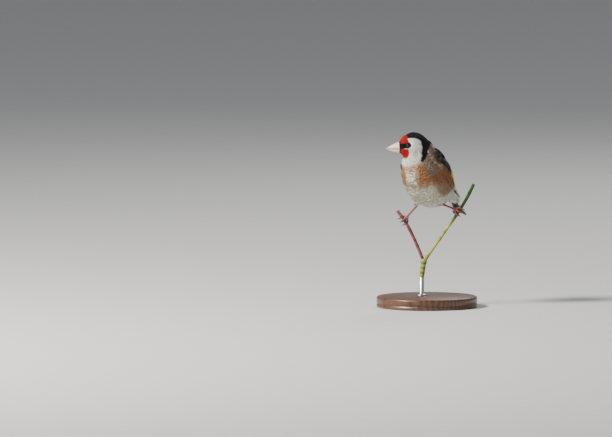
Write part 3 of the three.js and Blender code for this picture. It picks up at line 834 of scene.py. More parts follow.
# Fans of locks along given centre lines; each lock is a closed, ridged lance
def growFeathers(name, lines, ups, width, lift, charted, colourAt, locks=9, sink=0.25, roll=0.07):
    count = len(lines)
    tangents = unit(np.gradient(lines, axis=1))
    ups = unit(ups - tangents * (ups * tangents).sum(-1, keepdims=True))
    sides = np.cross(ups, tangents)
    across = np.linspace(-1, 1, locks)[None] + rng.normal(0, lock["unevenPlace"] / locks, (count, locks))
    reach = (1 - lock["sideShort"] * across**2) * (1 + rng.normal(0, lock["unevenReach"], (count, locks)))
    reach = np.clip(reach, lock["shortest"], 1)
    own = rng.normal(0, lock["unevenRise"], (count, locks))
    points = np.zeros((count, locks, 7, 3))
    unwrap = np.zeros((count, locks, 7, 2))
    half = (width / locks)[:, None]
    for ring, (share, wide, ridge) in enumerate(lock["rings"]):
        at = share * reach
        middle, up, side = (alongLine(values, at) for values in (lines, ups, sides))
        spread = (0.4 + 0.6 * smooth(at, 0, 0.6)) * width[:, None] / 2
        rise = -sink * (1 - smooth(at, 0, 0.25)) + lift[:, None] * at**0.85 + own * at
        rise = rise - roll * across**2 * at * width[:, None] / lock["fan"]
        centre = middle + side * (across * spread * mm)[..., None] + up * (rise * mm)[..., None]
        edge = side * (wide * half * mm)[..., None]
        level = np.full_like(across, 2 * share - 1)
        if ring == 2:
            points[:, :, 6] = centre
            unwrap[:, :, 6] = np.stack([across, level], -1)
            continue
        points[:, :, 3 * ring] = centre - edge
        points[:, :, 3 * ring + 1] = centre + up * ridge * mm
        points[:, :, 3 * ring + 2] = centre + edge
        for corner, push in enumerate((-1 / locks, 0, 1 / locks)):
            unwrap[:, :, 3 * ring + corner] = np.stack([across + push, level], -1)
    pattern = np.array(lock["sides"] + lock["ends"])
    start = (np.arange(count * locks) * 7)[:, None, None]
    faces = np.where(pattern[None] < 0, -1, pattern[None] + start).reshape(-1, 4)
    mesh = meshFromArrays(name, points.reshape(-1, 3), faces)
    colours = colourAt(mix(points[:, :, 4], points[:, :, 6], 0.55).reshape(-1, 3)).reshape(count, locks, 1, 3)
    between, within = lock["unevenShade"]
    uneven = 1 + rng.normal(0, between, (count, 1, 1, 1))
    colours = colours * (uneven + rng.normal(0, within, (count, locks, 1, 1)))
    # painted shade at each lock's root, with its grey down, and painted light at its ridge and tip
    shade = np.array(lock["shade"])[None, None, :, None]
    paint(mesh, np.clip(colours * shade, 0, 1).reshape(-1, 3))
    mapPoints(mesh, (charted[:, None, None] + unwrap * coat["patch"] / 2).reshape(-1, 2))
    piece = newPiece(name, mesh, coatMaterial)
    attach(piece, "root")
    print(name, count, "feathers,", len(faces) + 3 * count * locks, "triangles")
    return piece


def makeCoat():
    billTree = treeOf("bill_upper", "bill_lower")
    wingTree = treeOf("wing_left", "wing_right")
    roots, charted = sampleRoots()
    nearest, outward = nearestOn(billTree, roots)
    outside = ((roots - nearest) * outward).sum(1) > 0.1 * mm
    clear = outside & (eyeDistance(roots) > coat["eyeClear"])
    roots, charted = roots[clear], charted[clear]
    away = distanceTo(roots, headCentre)
    forward, left, _ = inHead(roots)
    face = smooth(forward, 2, 8) * (1 - smooth(away, *coat["faceReach"]))
    length = mix(coat["headLength"], coat["bodyLength"], smooth(away, *coat["sizeReach"]))
    length = mix(length, coat["faceLength"], face) * (1 + rng.normal(0, 0.08, len(roots)))
    trunkPlace = ((roots - bodyCentre) / mm) @ trunkAxis
    fluff = smooth(-trunkPlace, *coat["fluffReach"])
    length = mix(length, coat["rumpLength"], fluff)
    for _ in range(4):
        lie = lieAt(roots, nearestOn(skinTree, roots)[1])
        short = eyeDistance(roots + lie * length[:, None] * mm) < coat["tipClear"]
        length = np.where(short, length * 0.72, length)
    lines, ups = walkSkin(roots, length)
    hidden = np.array([
        all(wingTree.ray_cast(Vector(line[k]), Vector(up[k]), 4 * mm)[0] is not None for k in (0, 2, 4))
        for line, up in zip(lines, ups)
    ])
    lines, ups, charted, length, away, face = (a[~hidden] for a in (lines, ups, charted, length, away, face))
    onBody = smooth(away, *coat["sizeReach"])
    width = mix(mix(coat["headWidth"], coat["bodyWidth"], onBody), coat["faceWidth"], face)
    lift = mix(coat["headLift"], coat["bodyLift"], onBody) * (1 + rng.normal(0, 0.06, len(away)))
    lift = mix(lift, coat["faceLift"], face)
    lift = mix(lift, coat["rumpLift"], fluff[~hidden])
    local = (lines[:, 0] - bodyCentre) / mm
    head = away < 17
    back = ~head & (local @ trunkBack > 2)
    mantle = smooth(local @ trunkBack, 3, 8) * smooth(away, 17, 22) * (1 - fluff[~hidden])
    lift = mix(lift, coat["mantleLift"], mantle)
    belly = ~head & ~back & (local[:, 2] < -6)
    breast = ~head & ~back & ~belly
    regions = {
        "coat_face": (head & (face > 0.3), 6),
        "coat_head_left": (head & (face <= 0.3) & (left[~hidden] >= 0), 7),
        "coat_head_right": (head & (face <= 0.3) & (left[~hidden] < 0), 7),
        "coat_back": (back, 9),
        "coat_breast_left": (breast & (local[:, 0] >= 0), 9),
        "coat_breast_right": (breast & (local[:, 0] < 0), 9),
        "coat_belly": (belly, 9),
    }
    for name, (chosen, locks) in regions.items():
        parts = (a[chosen] for a in (lines, ups, width, lift, charted))
        sink = coat["headSink"] if "head" in name or "face" in name else coat["bodySink"]
        growFeathers(name, *parts, plumage, locks=locks, sink=sink)


makeCoat()


# Places on the skin's unwrap, for feathers that are rooted over other parts
def chartOf(places):
    unwrap = np.empty(len(skinMesh.loops) * 2, np.float32)
    skinMesh.uv_layers["OFBake"].data.foreach_get("uv", unwrap)
    unwrap = unwrap.reshape(-1, 2)
    faces = [skinMesh.polygons[skinTree.find_nearest(Vector(p))[2]] for p in places]
    spans = [slice(face.loop_indices[0], face.loop_indices[0] + face.loop_total) for face in faces]
    return np.array([unwrap[span].mean(0) for span in spans])


# Vanes: large feathers as thin, closed, cambered blades with a raised shaft

vaneColumns = np.array([-1, -0.86, -0.6, -0.3, -0.07, 0, 0.07, 0.3, 0.6, 0.86, 1])
vane = {
    "rootWidth": 0.3,  # share of the full width
    "tipShape": (0.985, 2.4),  # how far and how squarely the tip closes
    "nick": (0.22, 0.86, 0.35),  # depth at an edge, how rare, and the share of the length where it starts
    "slant": 0.5,
    "shaft": (0.13, 0.04),  # mm that the shaft stands up, and the web next to it
    "ripple": 0.05,  # mm
    "edge": 0.03,
    # painted shade: how much darker each blade's underside is painted than its top
    "underPaintedShade": 0.8,
}


# Blades along given lines; turn is -1 on the bird's right, so that columns above zero lie towards the back
def growVanes(name, lines, ups, width, colourAt, turn=1, web=0.3, camber=0.3, tip=0.82, thick=0.12):
    count, stations = lines.shape[:2]
    columns = len(vaneColumns)
    tangents = unit(np.gradient(lines, axis=1))
    ups = unit(ups - tangents * (ups * tangents).sum(-1, keepdims=True))
    sides = np.cross(ups, tangents) * turn
    share = np.linspace(0, 1, stations)
    close, square = vane["tipShape"]
    rounding = np.sqrt(1 - close * np.clip((share - tip) / (1 - tip), 0, 1) ** square)
    profile = (vane["rootWidth"] + 0.7 * smooth(share, 0, 0.3)) * rounding
    depth, rare, start = vane["nick"]
    nicks = 1 - depth * (rng.random((count, stations, 2)) > rare) * (share > start)[None, :, None]
    column = vaneColumns[None, None, :]
    reach = np.where(column > 0, 1 + web, 1 - web) * column
    reach = reach * np.where(column > 0.9, nicks[:, :, 1:], np.where(column < -0.9, nicks[:, :, :1], 1))
    out = reach * (width[:, None, None] / 2) * profile[None, :, None]
    slant = vane["slant"] * np.abs(out) * (1 - np.clip((share - tip) / (1 - tip), 0, 1))[None, :, None]
    high, beside = vane["shaft"]
    shaft = high * (np.abs(column) < 0.01) + beside * (np.abs(np.abs(column) - 0.07) < 0.01)
    rise = shaft * (1 - 0.7 * share)[None, :, None] - camber * column**2 * profile[None, :, None]
    phase = 5 * share[None, :, None] + 9 * rng.random((count, 1, 1)) + 2.5 * column
    rise = rise + vane["ripple"] * np.sin(phase)
    aside = sides[:, :, None] * out[..., None] + tangents[:, :, None] * slant[..., None]
    top = lines[:, :, None] + aside * mm
    top = top + ups[:, :, None] * rise[..., None] * mm
    under = top - ups[:, :, None] * (thick * (1 - 0.6 * np.abs(column)) + vane["edge"])[..., None] * mm
    points = np.stack([top, under], 1)
    sheet = stations * columns
    i, j = np.meshgrid(np.arange(stations - 1), np.arange(columns - 1), indexing="ij")
    a = (i * columns + j).ravel()
    upper = np.column_stack([a, a + columns, a + columns + 1, a + 1])
    lower = upper[:, ::-1] + sheet
    rows = np.arange(stations - 1) * columns
    low = np.column_stack([rows, rows + sheet, rows + sheet + columns, rows + columns])
    high = (low + columns - 1)[:, ::-1]
    cells = np.arange(columns - 1)
    root = np.column_stack([cells, cells + 1, cells + 1 + sheet, cells + sheet])
    end = (root + sheet - columns)[:, ::-1]
    pattern = np.concatenate([upper, lower, low, high, root, end])
    pattern = pattern if turn > 0 else pattern[:, ::-1]
    faces = (pattern[None] + (np.arange(count) * 2 * sheet)[:, None, None]).reshape(-1, 4)
    mesh = meshFromArrays(name, points.reshape(-1, 3), faces)
    which = np.arange(count)[:, None, None] / max(1, count - 1)
    colours = colourAt(*np.broadcast_arrays(share[None, :, None], column, which))
    colours = colours * (1 + rng.normal(0, 0.03, (count, 1, 1, 1)))
    # painted shade: each blade's underside is a darker copy of its top
    colours = np.stack([colours, colours * vane["underPaintedShade"]], 1)
    paint(mesh, np.clip(colours, 0, 1).reshape(-1, 3))
    steps = np.cumsum(np.linalg.norm(np.diff(lines, axis=1), axis=2), axis=1)
    length = np.concatenate([np.zeros((count, 1)), steps], axis=1) / mm
    own = np.stack(np.broadcast_arrays(length[:, :, None] + slant, out, np.zeros(1)), -1)
    layer = mesh.attributes.new("vaneFrame", "FLOAT_VECTOR", "POINT")
    layer.data.foreach_set("vector", np.stack([own, own], 1).astype(np.float32).ravel())
    # each blade has its own cell on the map, with its underside beside it
    half = 0.42 * (1 + vaneColumns) / 2
    across = np.stack([0.04 + half, 0.54 + half])[None, :, None, :]
    across = (np.arange(count)[:, None, None, None] + across) / count
    up = 0.02 + 0.96 * share[None, None, :, None]
    mapPoints(mesh, np.stack(np.broadcast_arrays(across, up), -1).reshape(-1, 2))
    piece = newPiece(name, mesh, flightMaterial)
    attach(piece, "root")
    return piece


# Wings: the folded wing's surface runs between two edges, from its bend to its tip

wing = {
    "upperEdge": [(9.5, -6, 26.5), (9.5, 6, 17.5), (7, 18, 6.5), (4.6, 29, -5.5), (3, 40, -17.2)],
    "lowerEdge": [(13.5, -11.5, 21), (18, -3, 8.5), (17, 8.5, -3.5), (10.5, 24, -11.5), (4.8, 40.8, -19)],
    "clear": 1.35,  # mm over the skin
    "nearSkin": 9,  # mm from the skin within which it is kept clear
    "bulge": 0.5,
    "bulgeWay": (0.8, 0.5, 0.3),
    "topFacing": (0.35, 0.72, 0.6),
    "sideFacing": (0.93, 0.24, 0.28),
    "tipFacing": (0.3, 0.75, 0.58),
    "stations": 26,
}


def wingOutward(sign, along, across):
    top, side, tip = (v3(*wing[name]) for name in ("topFacing", "sideFacing", "tipFacing"))
    facing = mix(mix(top, side, across[..., None]), tip, smooth(along, 0.55, 1)[..., None])
    return unit(facing) * v3(sign, 1, 1)


def onWing(sign, along, across, out):
    edges = [curveAt(wing[edge], along) for edge in ("upperEdge", "lowerEdge")]
    place = mix(*edges, across[..., None])
    bulge = wing["bulge"] * np.sin(math.pi * np.clip(across, 0, 1)) * (1 - smooth(along, 0.6, 1))
    place = place + v3(*wing["bulgeWay"]) * bulge[..., None]
    place = bodyCentre + place * v3(sign, 1, 1) * mm
    nearest, normals = nearestOn(skinTree, place)
    over = ((place - nearest) * normals).sum(-1, keepdims=True) / mm
    inside = np.linalg.norm(place - nearest, axis=-1, keepdims=True) / mm < wing["nearSkin"]
    place = np.where(inside & (over < wing["clear"]), nearest + normals * wing["clear"] * mm, place)
    return place + wingOutward(sign, along, across) * (out * mm)[..., None]


# Colours of the flight feathers by share of length, place across the vane and place in the row
def inkRule(share, base):
    return np.broadcast_to(ink[base], share.shape + (3,)).copy()


def tint(colour, name, share):
    return colour + (ink[name] - colour) * np.clip(share, 0, 1)[..., None]


def primaryColours(share, column, which):
    colour = inkRule(share, "black")
    gold = smooth(share, 0.18, 0.22) * (1 - smooth(share + 0.05 * which, 0.5, 0.54))
    gold = gold * smooth(-column, 0.0, 0.12)
    colour = tint(colour, "gold", gold * (which > 0.05))
    white = smooth(share, 0.93, 0.955) * smooth(column, -0.6, 0.1) * (which > 0.1)
    return tint(colour, "white", white)


def secondaryColours(share, column, which):
    colour = inkRule(share, "black")
    colour = tint(colour, "gold", (1 - smooth(share, 0.56, 0.61)) * smooth(-column, -0.1, 0.1))
    return tint(colour, "white", smooth(share - 0.04 * np.abs(column), 0.88, 0.92))


def tertialColours(share, column, which):
    colour = inkRule(share, "black")
    return tint(colour, "white", smooth(share + 0.07 * np.abs(column), 0.84, 0.88))


def greaterCovertColours(share, column, which):
    colour = inkRule(share, "black")
    return tint(colour, "gold", smooth(share + 0.05 * np.abs(column), 0.56, 0.66))


def lesserCovertColours(share, column, which):
    colour = inkRule(share, "black")
    return tint(colour, "mantle", 0.45 * smooth(share + 0.1 * np.abs(column), 0.86, 0.98))


# Rows from the primaries up to the coverts, each over the roots of the one before; along and across run from
# the first to the last feather of a row, at root and at tip
wingRows = {
    "primaries": dict(
        count=9, root=(0.33, 0.33, 0.94, 0.5), tip=(1.0, 0.7, 0.75, 0.52), lift=(0.35, 0.95, 0.3, 0.95),
        width=4.4, colours=primaryColours, web=0.35, tipFrom=0.74,
    ),
    "secondaries": dict(
        count=6, root=(0.3, 0.3, 0.64, 0.28), tip=(0.69, 0.6, 0.56, 0.24), lift=(0.8, 0.95, 1.0, 1.4),
        width=4.8, colours=secondaryColours, web=0.25, tipFrom=0.84,
    ),
    "tertials": dict(
        count=3, root=(0.2, 0.2, 0.24, 0.1), tip=(0.62, 0.44, 0.2, 0.12), lift=(0.9, 0.95, 1.5, 1.8),
        width=5.2, colours=tertialColours, web=0.1, tipFrom=0.8,
    ),
    "greater_coverts": dict(
        count=10, root=(0.2, 0.2, 0.95, 0.2), tip=(0.5, 0.44, 0.95, 0.22), lift=(0.8, 0.8, 1.35, 1.65),
        width=3.6, colours=greaterCovertColours, web=0.15, tipFrom=0.78,
    ),
    "median_coverts": dict(
        count=9, root=(0.1, 0.1, 0.94, 0.16), tip=(0.36, 0.33, 0.94, 0.18), lift=(0.7, 0.7, 1.6, 1.75),
        width=3.8, colours=lesserCovertColours, web=0.0, tipFrom=0.6,
    ),
    "lesser_coverts": dict(
        count=9, root=(0.05, 0.04, 0.9, 0.12), tip=(0.24, 0.22, 0.9, 0.14), lift=(0.1, 0.3, 1.6, 1.8),
        width=3.6, colours=lesserCovertColours, web=0.0, tipFrom=0.55,
    ),
    "marginal_coverts": dict(
        count=8, root=(0.0, 0.0, 0.78, 0.1), tip=(0.14, 0.13, 0.8, 0.12), lift=(-0.5, -0.5, 1.5, 1.6),
        width=3.4, colours=lesserCovertColours, web=0.0, tipFrom=0.5,
    ),
}


def makeWing(side):
    sign = 1 if side == "left" else -1
    pieces = []
    for rowName, row in wingRows.items():
        which = np.linspace(0, 1, row["count"])[:, None]
        jitter = rng.normal(0, 0.006, (row["count"], 1))
        share = np.linspace(0, 1, wing["stations"])[None]
        along = mix(mix(*row["root"][:2], which), mix(*row["tip"][:2], which) + jitter, share)
        across = mix(mix(*row["root"][2:], which), mix(*row["tip"][2:], which), share)
        lift = mix(mix(*row["lift"][:2], which), mix(*row["lift"][2:], which), share)
        lift = lift + 0.1 * (np.arange(row["count"])[:, None] % 2)
        lines = onWing(sign, np.maximum(along, 0), across, lift)
        width = np.full(row["count"], row["width"]) * (1 + rng.normal(0, 0.03, row["count"]))
        ups = wingOutward(sign, along, across)
        options = {"turn": sign, "web": row["web"], "tip": row["tipFrom"]}
        pieces.append(growVanes(f"wing_{side}_{rowName}", lines, ups, width, row["colours"], **options))
    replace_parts(pieces[0], "wing_" + side)


for side in ("left", "right"):
    makeWing(side)
print("wings made")


# Body feathers that hide where the wing leaves the body: along and across are places on the wing
wingCover = {
    "scapulars": {
        "along": (0.0, 0.46), "across": (-0.16, 0.1), "count": (5, 22),
        "length": 7.5, "width": 4.2, "out": 1.25,
    },
    "side": {
        "along": (0.1, 0.5), "across": (1.1, 0.9), "count": (3, 24),
        "length": 7.0, "width": 3.8, "out": 1.6,
    },
}
wingEdge = {
    "shoulder": {
        "along": (-0.16, 0.02), "across": (-0.12, 1.15), "count": (6, 22),
        "length": 7.0, "width": 3.4, "lift": (1.1, 2.8),
    },
    "flank": {
        "along": (0.0, 0.56), "across": (1.2, 1.03), "count": (30, 4),
        "length": 6.5, "width": 3.4, "lift": (1.3, 2.3),
    },
}
wingSpan = 52.0  # mm from the bend of the wing to its tip


# Two shares from 0 to 1 for each feather of a block of rows
def blockShares(counts):
    return (grid.ravel() for grid in np.meshgrid(*(np.linspace(0, 1, n) for n in counts)))


def makeWingCover(side):
    sign = 1 if side == "left" else -1
    share = np.linspace(0, 1, coat["stations"])[None]
    for name, cover in wingCover.items():
        rows, count = blockShares(cover["count"])
        rows = rows + rng.normal(0, 0.04, len(rows))
        along = mix(*cover["along"], count + rng.normal(0, 0.01, len(count)))[:, None]
        along = np.maximum(along, 0) + share * cover["length"] / wingSpan
        across = mix(*cover["across"], rows)[:, None] + 0 * share
        out = cover["out"] * mix(0.6, 1.15, share) + 0 * along + rng.normal(0, 0.04, (len(along), 1))
        lines = onWing(sign, along, across, out)
        ups = wingOutward(sign, along, np.clip(across, 0, 1))
        sizes = np.full(len(lines), cover["width"]), np.full(len(lines), 0.25)
        charted = chartOf(lines[:, 0])
        growFeathers(f"{name}_{side}", lines, ups, *sizes, charted, plumage, locks=11, sink=0.5, roll=0.35)
    for name, cover in wingEdge.items():
        first, second = blockShares(cover["count"])
        along = mix(*cover["along"], first) + rng.normal(0, 0.008, len(first))
        across = mix(*cover["across"], second)
        bend, inward = (curveAt(wing["lowerEdge"], np.full(1, at))[0] for at in (0.0, 0.1))
        ahead = bend - inward
        roots = onWing(sign, np.maximum(along, 0), across, np.zeros(len(along)))
        roots = roots - (unit(ahead) * v3(sign, 1, 1)) * (np.minimum(along, 0) * wingSpan * mm)[:, None]
        roots = nearestOn(skinTree, roots)[0]
        lines, ups = walkSkin(roots, np.full(len(roots), cover["length"]))
        lift = mix(*cover["lift"], first if name == "shoulder" else second)
        sizes = np.full(len(roots), cover["width"]), lift
        charted = chartOf(roots)
        growFeathers(f"{name}_{side}", lines, ups, *sizes, charted, plumage, locks=11, sink=0.3, roll=0.2)


for side in ("left", "right"):
    makeWingCover(side)
print("wings tucked in")


# Tail: twelve feathers, the middle pair on top, with the outer ones longer

tail = {
    "count": 12,
    "length": 47.5,
    "notch": 4.5,
    "width": 12.8,
    "vane": 4.2,
    "root": 10.0,
    "stations": 30,
    "step": 0.16,  # mm between the layers of the feathers
    "sag": 0.5,
}
tailRoot = v3(0, 18.5, 6)
tailAxis = unit(v3(0, 28.8, -36.8))
tailDorsal = unit(v3(0, 36.8, 28.8))


def onTail(along, across, rise):
    along, across, rise = (np.asarray(value, float)[..., None] for value in (along, across, rise))
    return bodyCentre + (tailRoot + tailAxis * along + v3(1, 0, 0) * across + tailDorsal * rise) * mm


def tailColours(share, column, which):
    aside = np.abs(2 * which - 1)
    colour = inkRule(share, "black")
    inner = smooth(-column * np.sign(which - 0.5), -0.15, 0.05)
    patch = inner * smooth(share, 0.55, 0.6) * (1 - smooth(share, 0.82, 0.88)) * (aside > 0.6)
    middle = smooth(share + 0.05 * np.abs(column), 0.9, 0.94) * (aside < 0.75)
    return tint(tint(colour, "white", patch), "white", middle)


def makeTail():
    place = np.linspace(-1, 1, tail["count"])[:, None]
    aside = np.abs(place)
    share = np.linspace(0, 1, tail["stations"])[None]
    tipPlace = tail["length"] - tail["notch"] * (1 - aside)
    across = place * mix(0.9, (tail["width"] - tail["vane"]) / 2 + 0.8, share)
    layer = -tail["step"] * aside * (tail["count"] / 2)
    rise = layer - tail["sag"] * np.sin(math.pi * share)
    lines = onTail(mix(tail["root"], tipPlace, share), across, rise)
    ups = np.broadcast_to(unit(tailDorsal + v3(0.12, 0, 0) * place[..., None]), lines.shape)
    width = np.full(tail["count"], tail["vane"])
    piece = growVanes("tail_feathers", lines, ups, width, tailColours, web=0.0, camber=0.22, tip=0.9)
    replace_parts(piece, "tail")


makeTail()


# Soft coverts over and under the root of the tail
tailCoverts = {
    "uppertail": {
        "from": (-2, 18), "rows": 8, "count": 11, "length": 11.0, "width": 4.2,
        "rise": (3.2, 1.5), "spread": 5.4, "curl": 1.6,
    },
    "undertail": {
        "from": (9, 22), "rows": 8, "count": 15, "length": 11.5, "width": 4.2,
        "rise": (-4.0, -2.4), "spread": 7.4, "curl": 1.4,
    },
}


def makeTailCoverts():
    share = np.linspace(0, 1, coat["stations"])[None]
    for name, cover in tailCoverts.items():
        grids = np.linspace(0, 1, cover["rows"]), np.linspace(-1, 1, cover["count"])
        rows, count = np.meshgrid(*grids, indexing="ij")
        first = rows.ravel()[:, None]
        aside = count.ravel()[:, None] + rng.normal(0, 0.05, (rows.size, 1))
        along = mix(*cover["from"], first) + rng.normal(0, 0.4, first.shape) + share * cover["length"]
        across = aside * cover["spread"] * mix(1, 0.8, first) * mix(1, 0.85, share)
        over = np.sign(cover["rise"][0])
        fall = -cover["curl"] * aside**2 - 0.3 * share
        rise = mix(*cover["rise"], mix(first, 1, 0.3 * share)) + over * fall
        lines = onTail(along, across, rise)
        ups = unit(tailDorsal * over + v3(0.75, 0, 0) * aside[..., None] + 0 * lines)
        sizes = np.full(len(lines), cover["width"]), np.full(len(lines), 0.5)
        charted = chartOf(lines[:, 0])
        growFeathers(name, lines, ups, *sizes, charted, plumage, locks=11, sink=0.8, roll=0.4)


makeTailCoverts()
print("tail made")


# Eyes: dark, glossy balls deep between their lids

eye = {
    "radius": 2.3,
    "pupil": 34.0,  # degrees from the middle of the eye
    "iris": 52.0,
    "cornea": (0.16, 44),  # mm that it bulges, and degrees to its edge
    "sides": 48,
    "forward": 0.28,  # share that an eye faces forward
    "lidOpening": 50.0,
    "lidSides": 72,
    # degrees outside the opening and mm over the ball, round the lid
    "lidSteps": [
        (0.5, -0.02), (0, 0.06), (1.5, 0.15), (4, 0.2),
        (7, 0.17), (11, 0.08), (20, 0.04), (34, -0.06),
    ],
}
ink["pupil"] = rgb("050405")
ink["iris"] = rgb("2a140c")
ink["lid"] = rgb("1d1a1c")
eyeMaterial, eyeTree, eyeShader = newMaterial(
    "eyeGloss", Roughness=0.2, Specular_IOR_Level=0.15, Coat_Weight=0.75, Coat_Roughness=0.02, Coat_IOR=1.34
)
addedMarks = addNode(eyeTree, "ShaderNodeAttribute", {"attribute_name": "plumage"})
eyeTree.links.new(addedMarks.outputs["Color"], eyeShader.inputs["Base Color"])
lidMaterial = paintedMaterial(
    "lidSkin", grain=5200.0, strength=0.25, bump=0.5, Roughness=0.55, Specular_IOR_Level=0.4
)


def eyeFrame(side):
    sign = 1 if side == "left" else -1
    facing = unit(headLeft * sign + headForward * eye["forward"])
    ahead = unit(headForward - facing * (headForward @ facing))
    return boxMiddle("eye_" + side), facing, ahead, np.cross(facing, ahead) * sign


# Rings round an axis at given angles from it, on a sphere whose radius may change
def ballRings(centre, facing, ahead, above, angles, radii, sides):
    turn = np.linspace(0, 2 * math.pi, sides, endpoint=False)
    around = np.outer(np.cos(turn), ahead) + np.outer(np.sin(turn), above)
    angles = np.broadcast_to(np.asarray(angles, float).T, (sides, len(angles))).T
    radii = np.broadcast_to(np.asarray(radii, float).T, (sides, len(radii))).T
    tilt = np.radians(angles)[..., None]
    return centre + (np.cos(tilt) * facing + np.sin(tilt) * around[None]) * radii[..., None] * mm


def patchMap(mesh, rings, sides):
    u, v = np.meshgrid(np.arange(sides) / sides, np.arange(rings) / (rings - 1))
    places = np.column_stack([u.ravel(), v.ravel()]) * 0.9 + 0.05
    mapPoints(mesh, np.concatenate([places, np.array([[0.5, 0.02], [0.5, 0.98]])]))


def makeEye(side):
    centre, facing, ahead, above = eyeFrame(side)
    sides = eye["sides"]
    angles = np.concatenate([np.linspace(2, 60, 30), np.linspace(66, 176, 18)])
    height, end = eye["cornea"]
    bulge = eye["radius"] + height * np.clip(1 - (angles / end) ** 2, 0, 1)
    rings = ballRings(centre, facing, ahead, above, angles[:, None], bulge[:, None], sides)
    rings = rings if side == "right" else rings[:, ::-1]
    mesh = loftMesh("eyeball_" + side, rings[::-1])
    angle = np.concatenate([angles[::-1].repeat(sides), [angles[-1], angles[0]]])
    colour = np.broadcast_to(ink["pupil"], (len(angle), 3))
    colour = blend(colour, ink["iris"], smooth(angle, eye["pupil"] - 3, eye["pupil"] + 3))
    colour = blend(colour, ink["pupil"], smooth(angle, eye["iris"] - 4, eye["iris"] + 2))
    paint(mesh, colour)
    piece = newPiece("eyeball_" + side, mesh, eyeMaterial)
    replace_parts(piece, "eye_" + side)
    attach(piece, "root")


# A rim of bare skin: it rolls over the ball at the opening and ends under the feathers
def makeLids(side):
    centre, facing, ahead, above = eyeFrame(side)
    sides, steps = eye["lidSides"], eye["lidSteps"]
    turn = np.linspace(0, 2 * math.pi, sides, endpoint=False)
    opening = eye["lidOpening"] + 3.5 * np.cos(2 * turn) - 2.5 * np.sin(turn) + 1.5 * np.cos(turn)
    folds = 0.025 * np.sin(turn * 31 + 2 * np.sin(3 * turn))
    angles = np.array([opening + push for push, _ in steps])
    radii = np.array([eye["radius"] + lift + folds * (lift > 0.15) for _, lift in steps])
    rings = ballRings(centre, facing, ahead, above, angles, radii, sides)
    count = len(steps)
    faces = []
    for ring in range(count):
        for at in range(sides):
            after = (at + 1) % sides
            following = (ring + 1) % count
            near, far = ring * sides, following * sides
            corners = (near + at, far + at, far + after, near + after)
            faces.append(corners if side == "left" else corners[::-1])
    mesh = meshFrom("lids_" + side, rings.reshape(-1, 3), faces)
    paint(mesh, np.broadcast_to(ink["lid"], (len(mesh.vertices), 3)))
    u, v = np.meshgrid(np.arange(sides) / sides, np.arange(count) / count)
    mapPoints(mesh, np.column_stack([u.ravel(), v.ravel()]) * 0.9 + 0.05)
    piece = newPiece("lids_" + side, mesh, lidMaterial)
    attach(piece, "root")


for side in ("left", "right"):
    makeEye(side)
    makeLids(side)
print("eyes and lids made")


# Bill: two horny halves that meet along the line of the mouth

bill = {
    "base": 9.2,
    "length": 12.4,
    "root": 1.2,  # mm hidden under the face
    "end": 0.4,
    "start": 9.6,
    "depth": 8.2,
    "width": 6.6,
    "mouth": -0.2,
    "droop": 0.7,
    "gap": 0.14,
    "stations": 40,
    "sides": 22,
    "nostril": ((12.9, 0.55), (3.1, 0.42)),  # middle and size, forward and up
    # rim: how far the darker band runs from the mouth; it is wider on the lower mandible, as painted shade
    # under the upper one
    "upper": {"short": 0, "taper": 0.9, "deep": (0.72, 0.8), "rim": 0.22, "ridge": 1},
    "lower": {"short": 0.9, "taper": 0.8, "deep": (0.46, 0.6), "rim": 0.5, "ridge": 0.3},
}
ink["horn"] = rgb("ecdccb")
ink["hornTip"] = rgb("8e7c70")
ink["hornEdge"] = rgb("b08a78")
hornMaterial = paintedMaterial(
    "billHorn", grain=3000.0, strength=0.08, bump=0.12,
    Roughness=0.36, Specular_IOR_Level=0.5, Coat_Weight=0.25, Coat_Roughness=0.3,
    Subsurface_Weight=0.12, Subsurface_Scale=0.001,
)


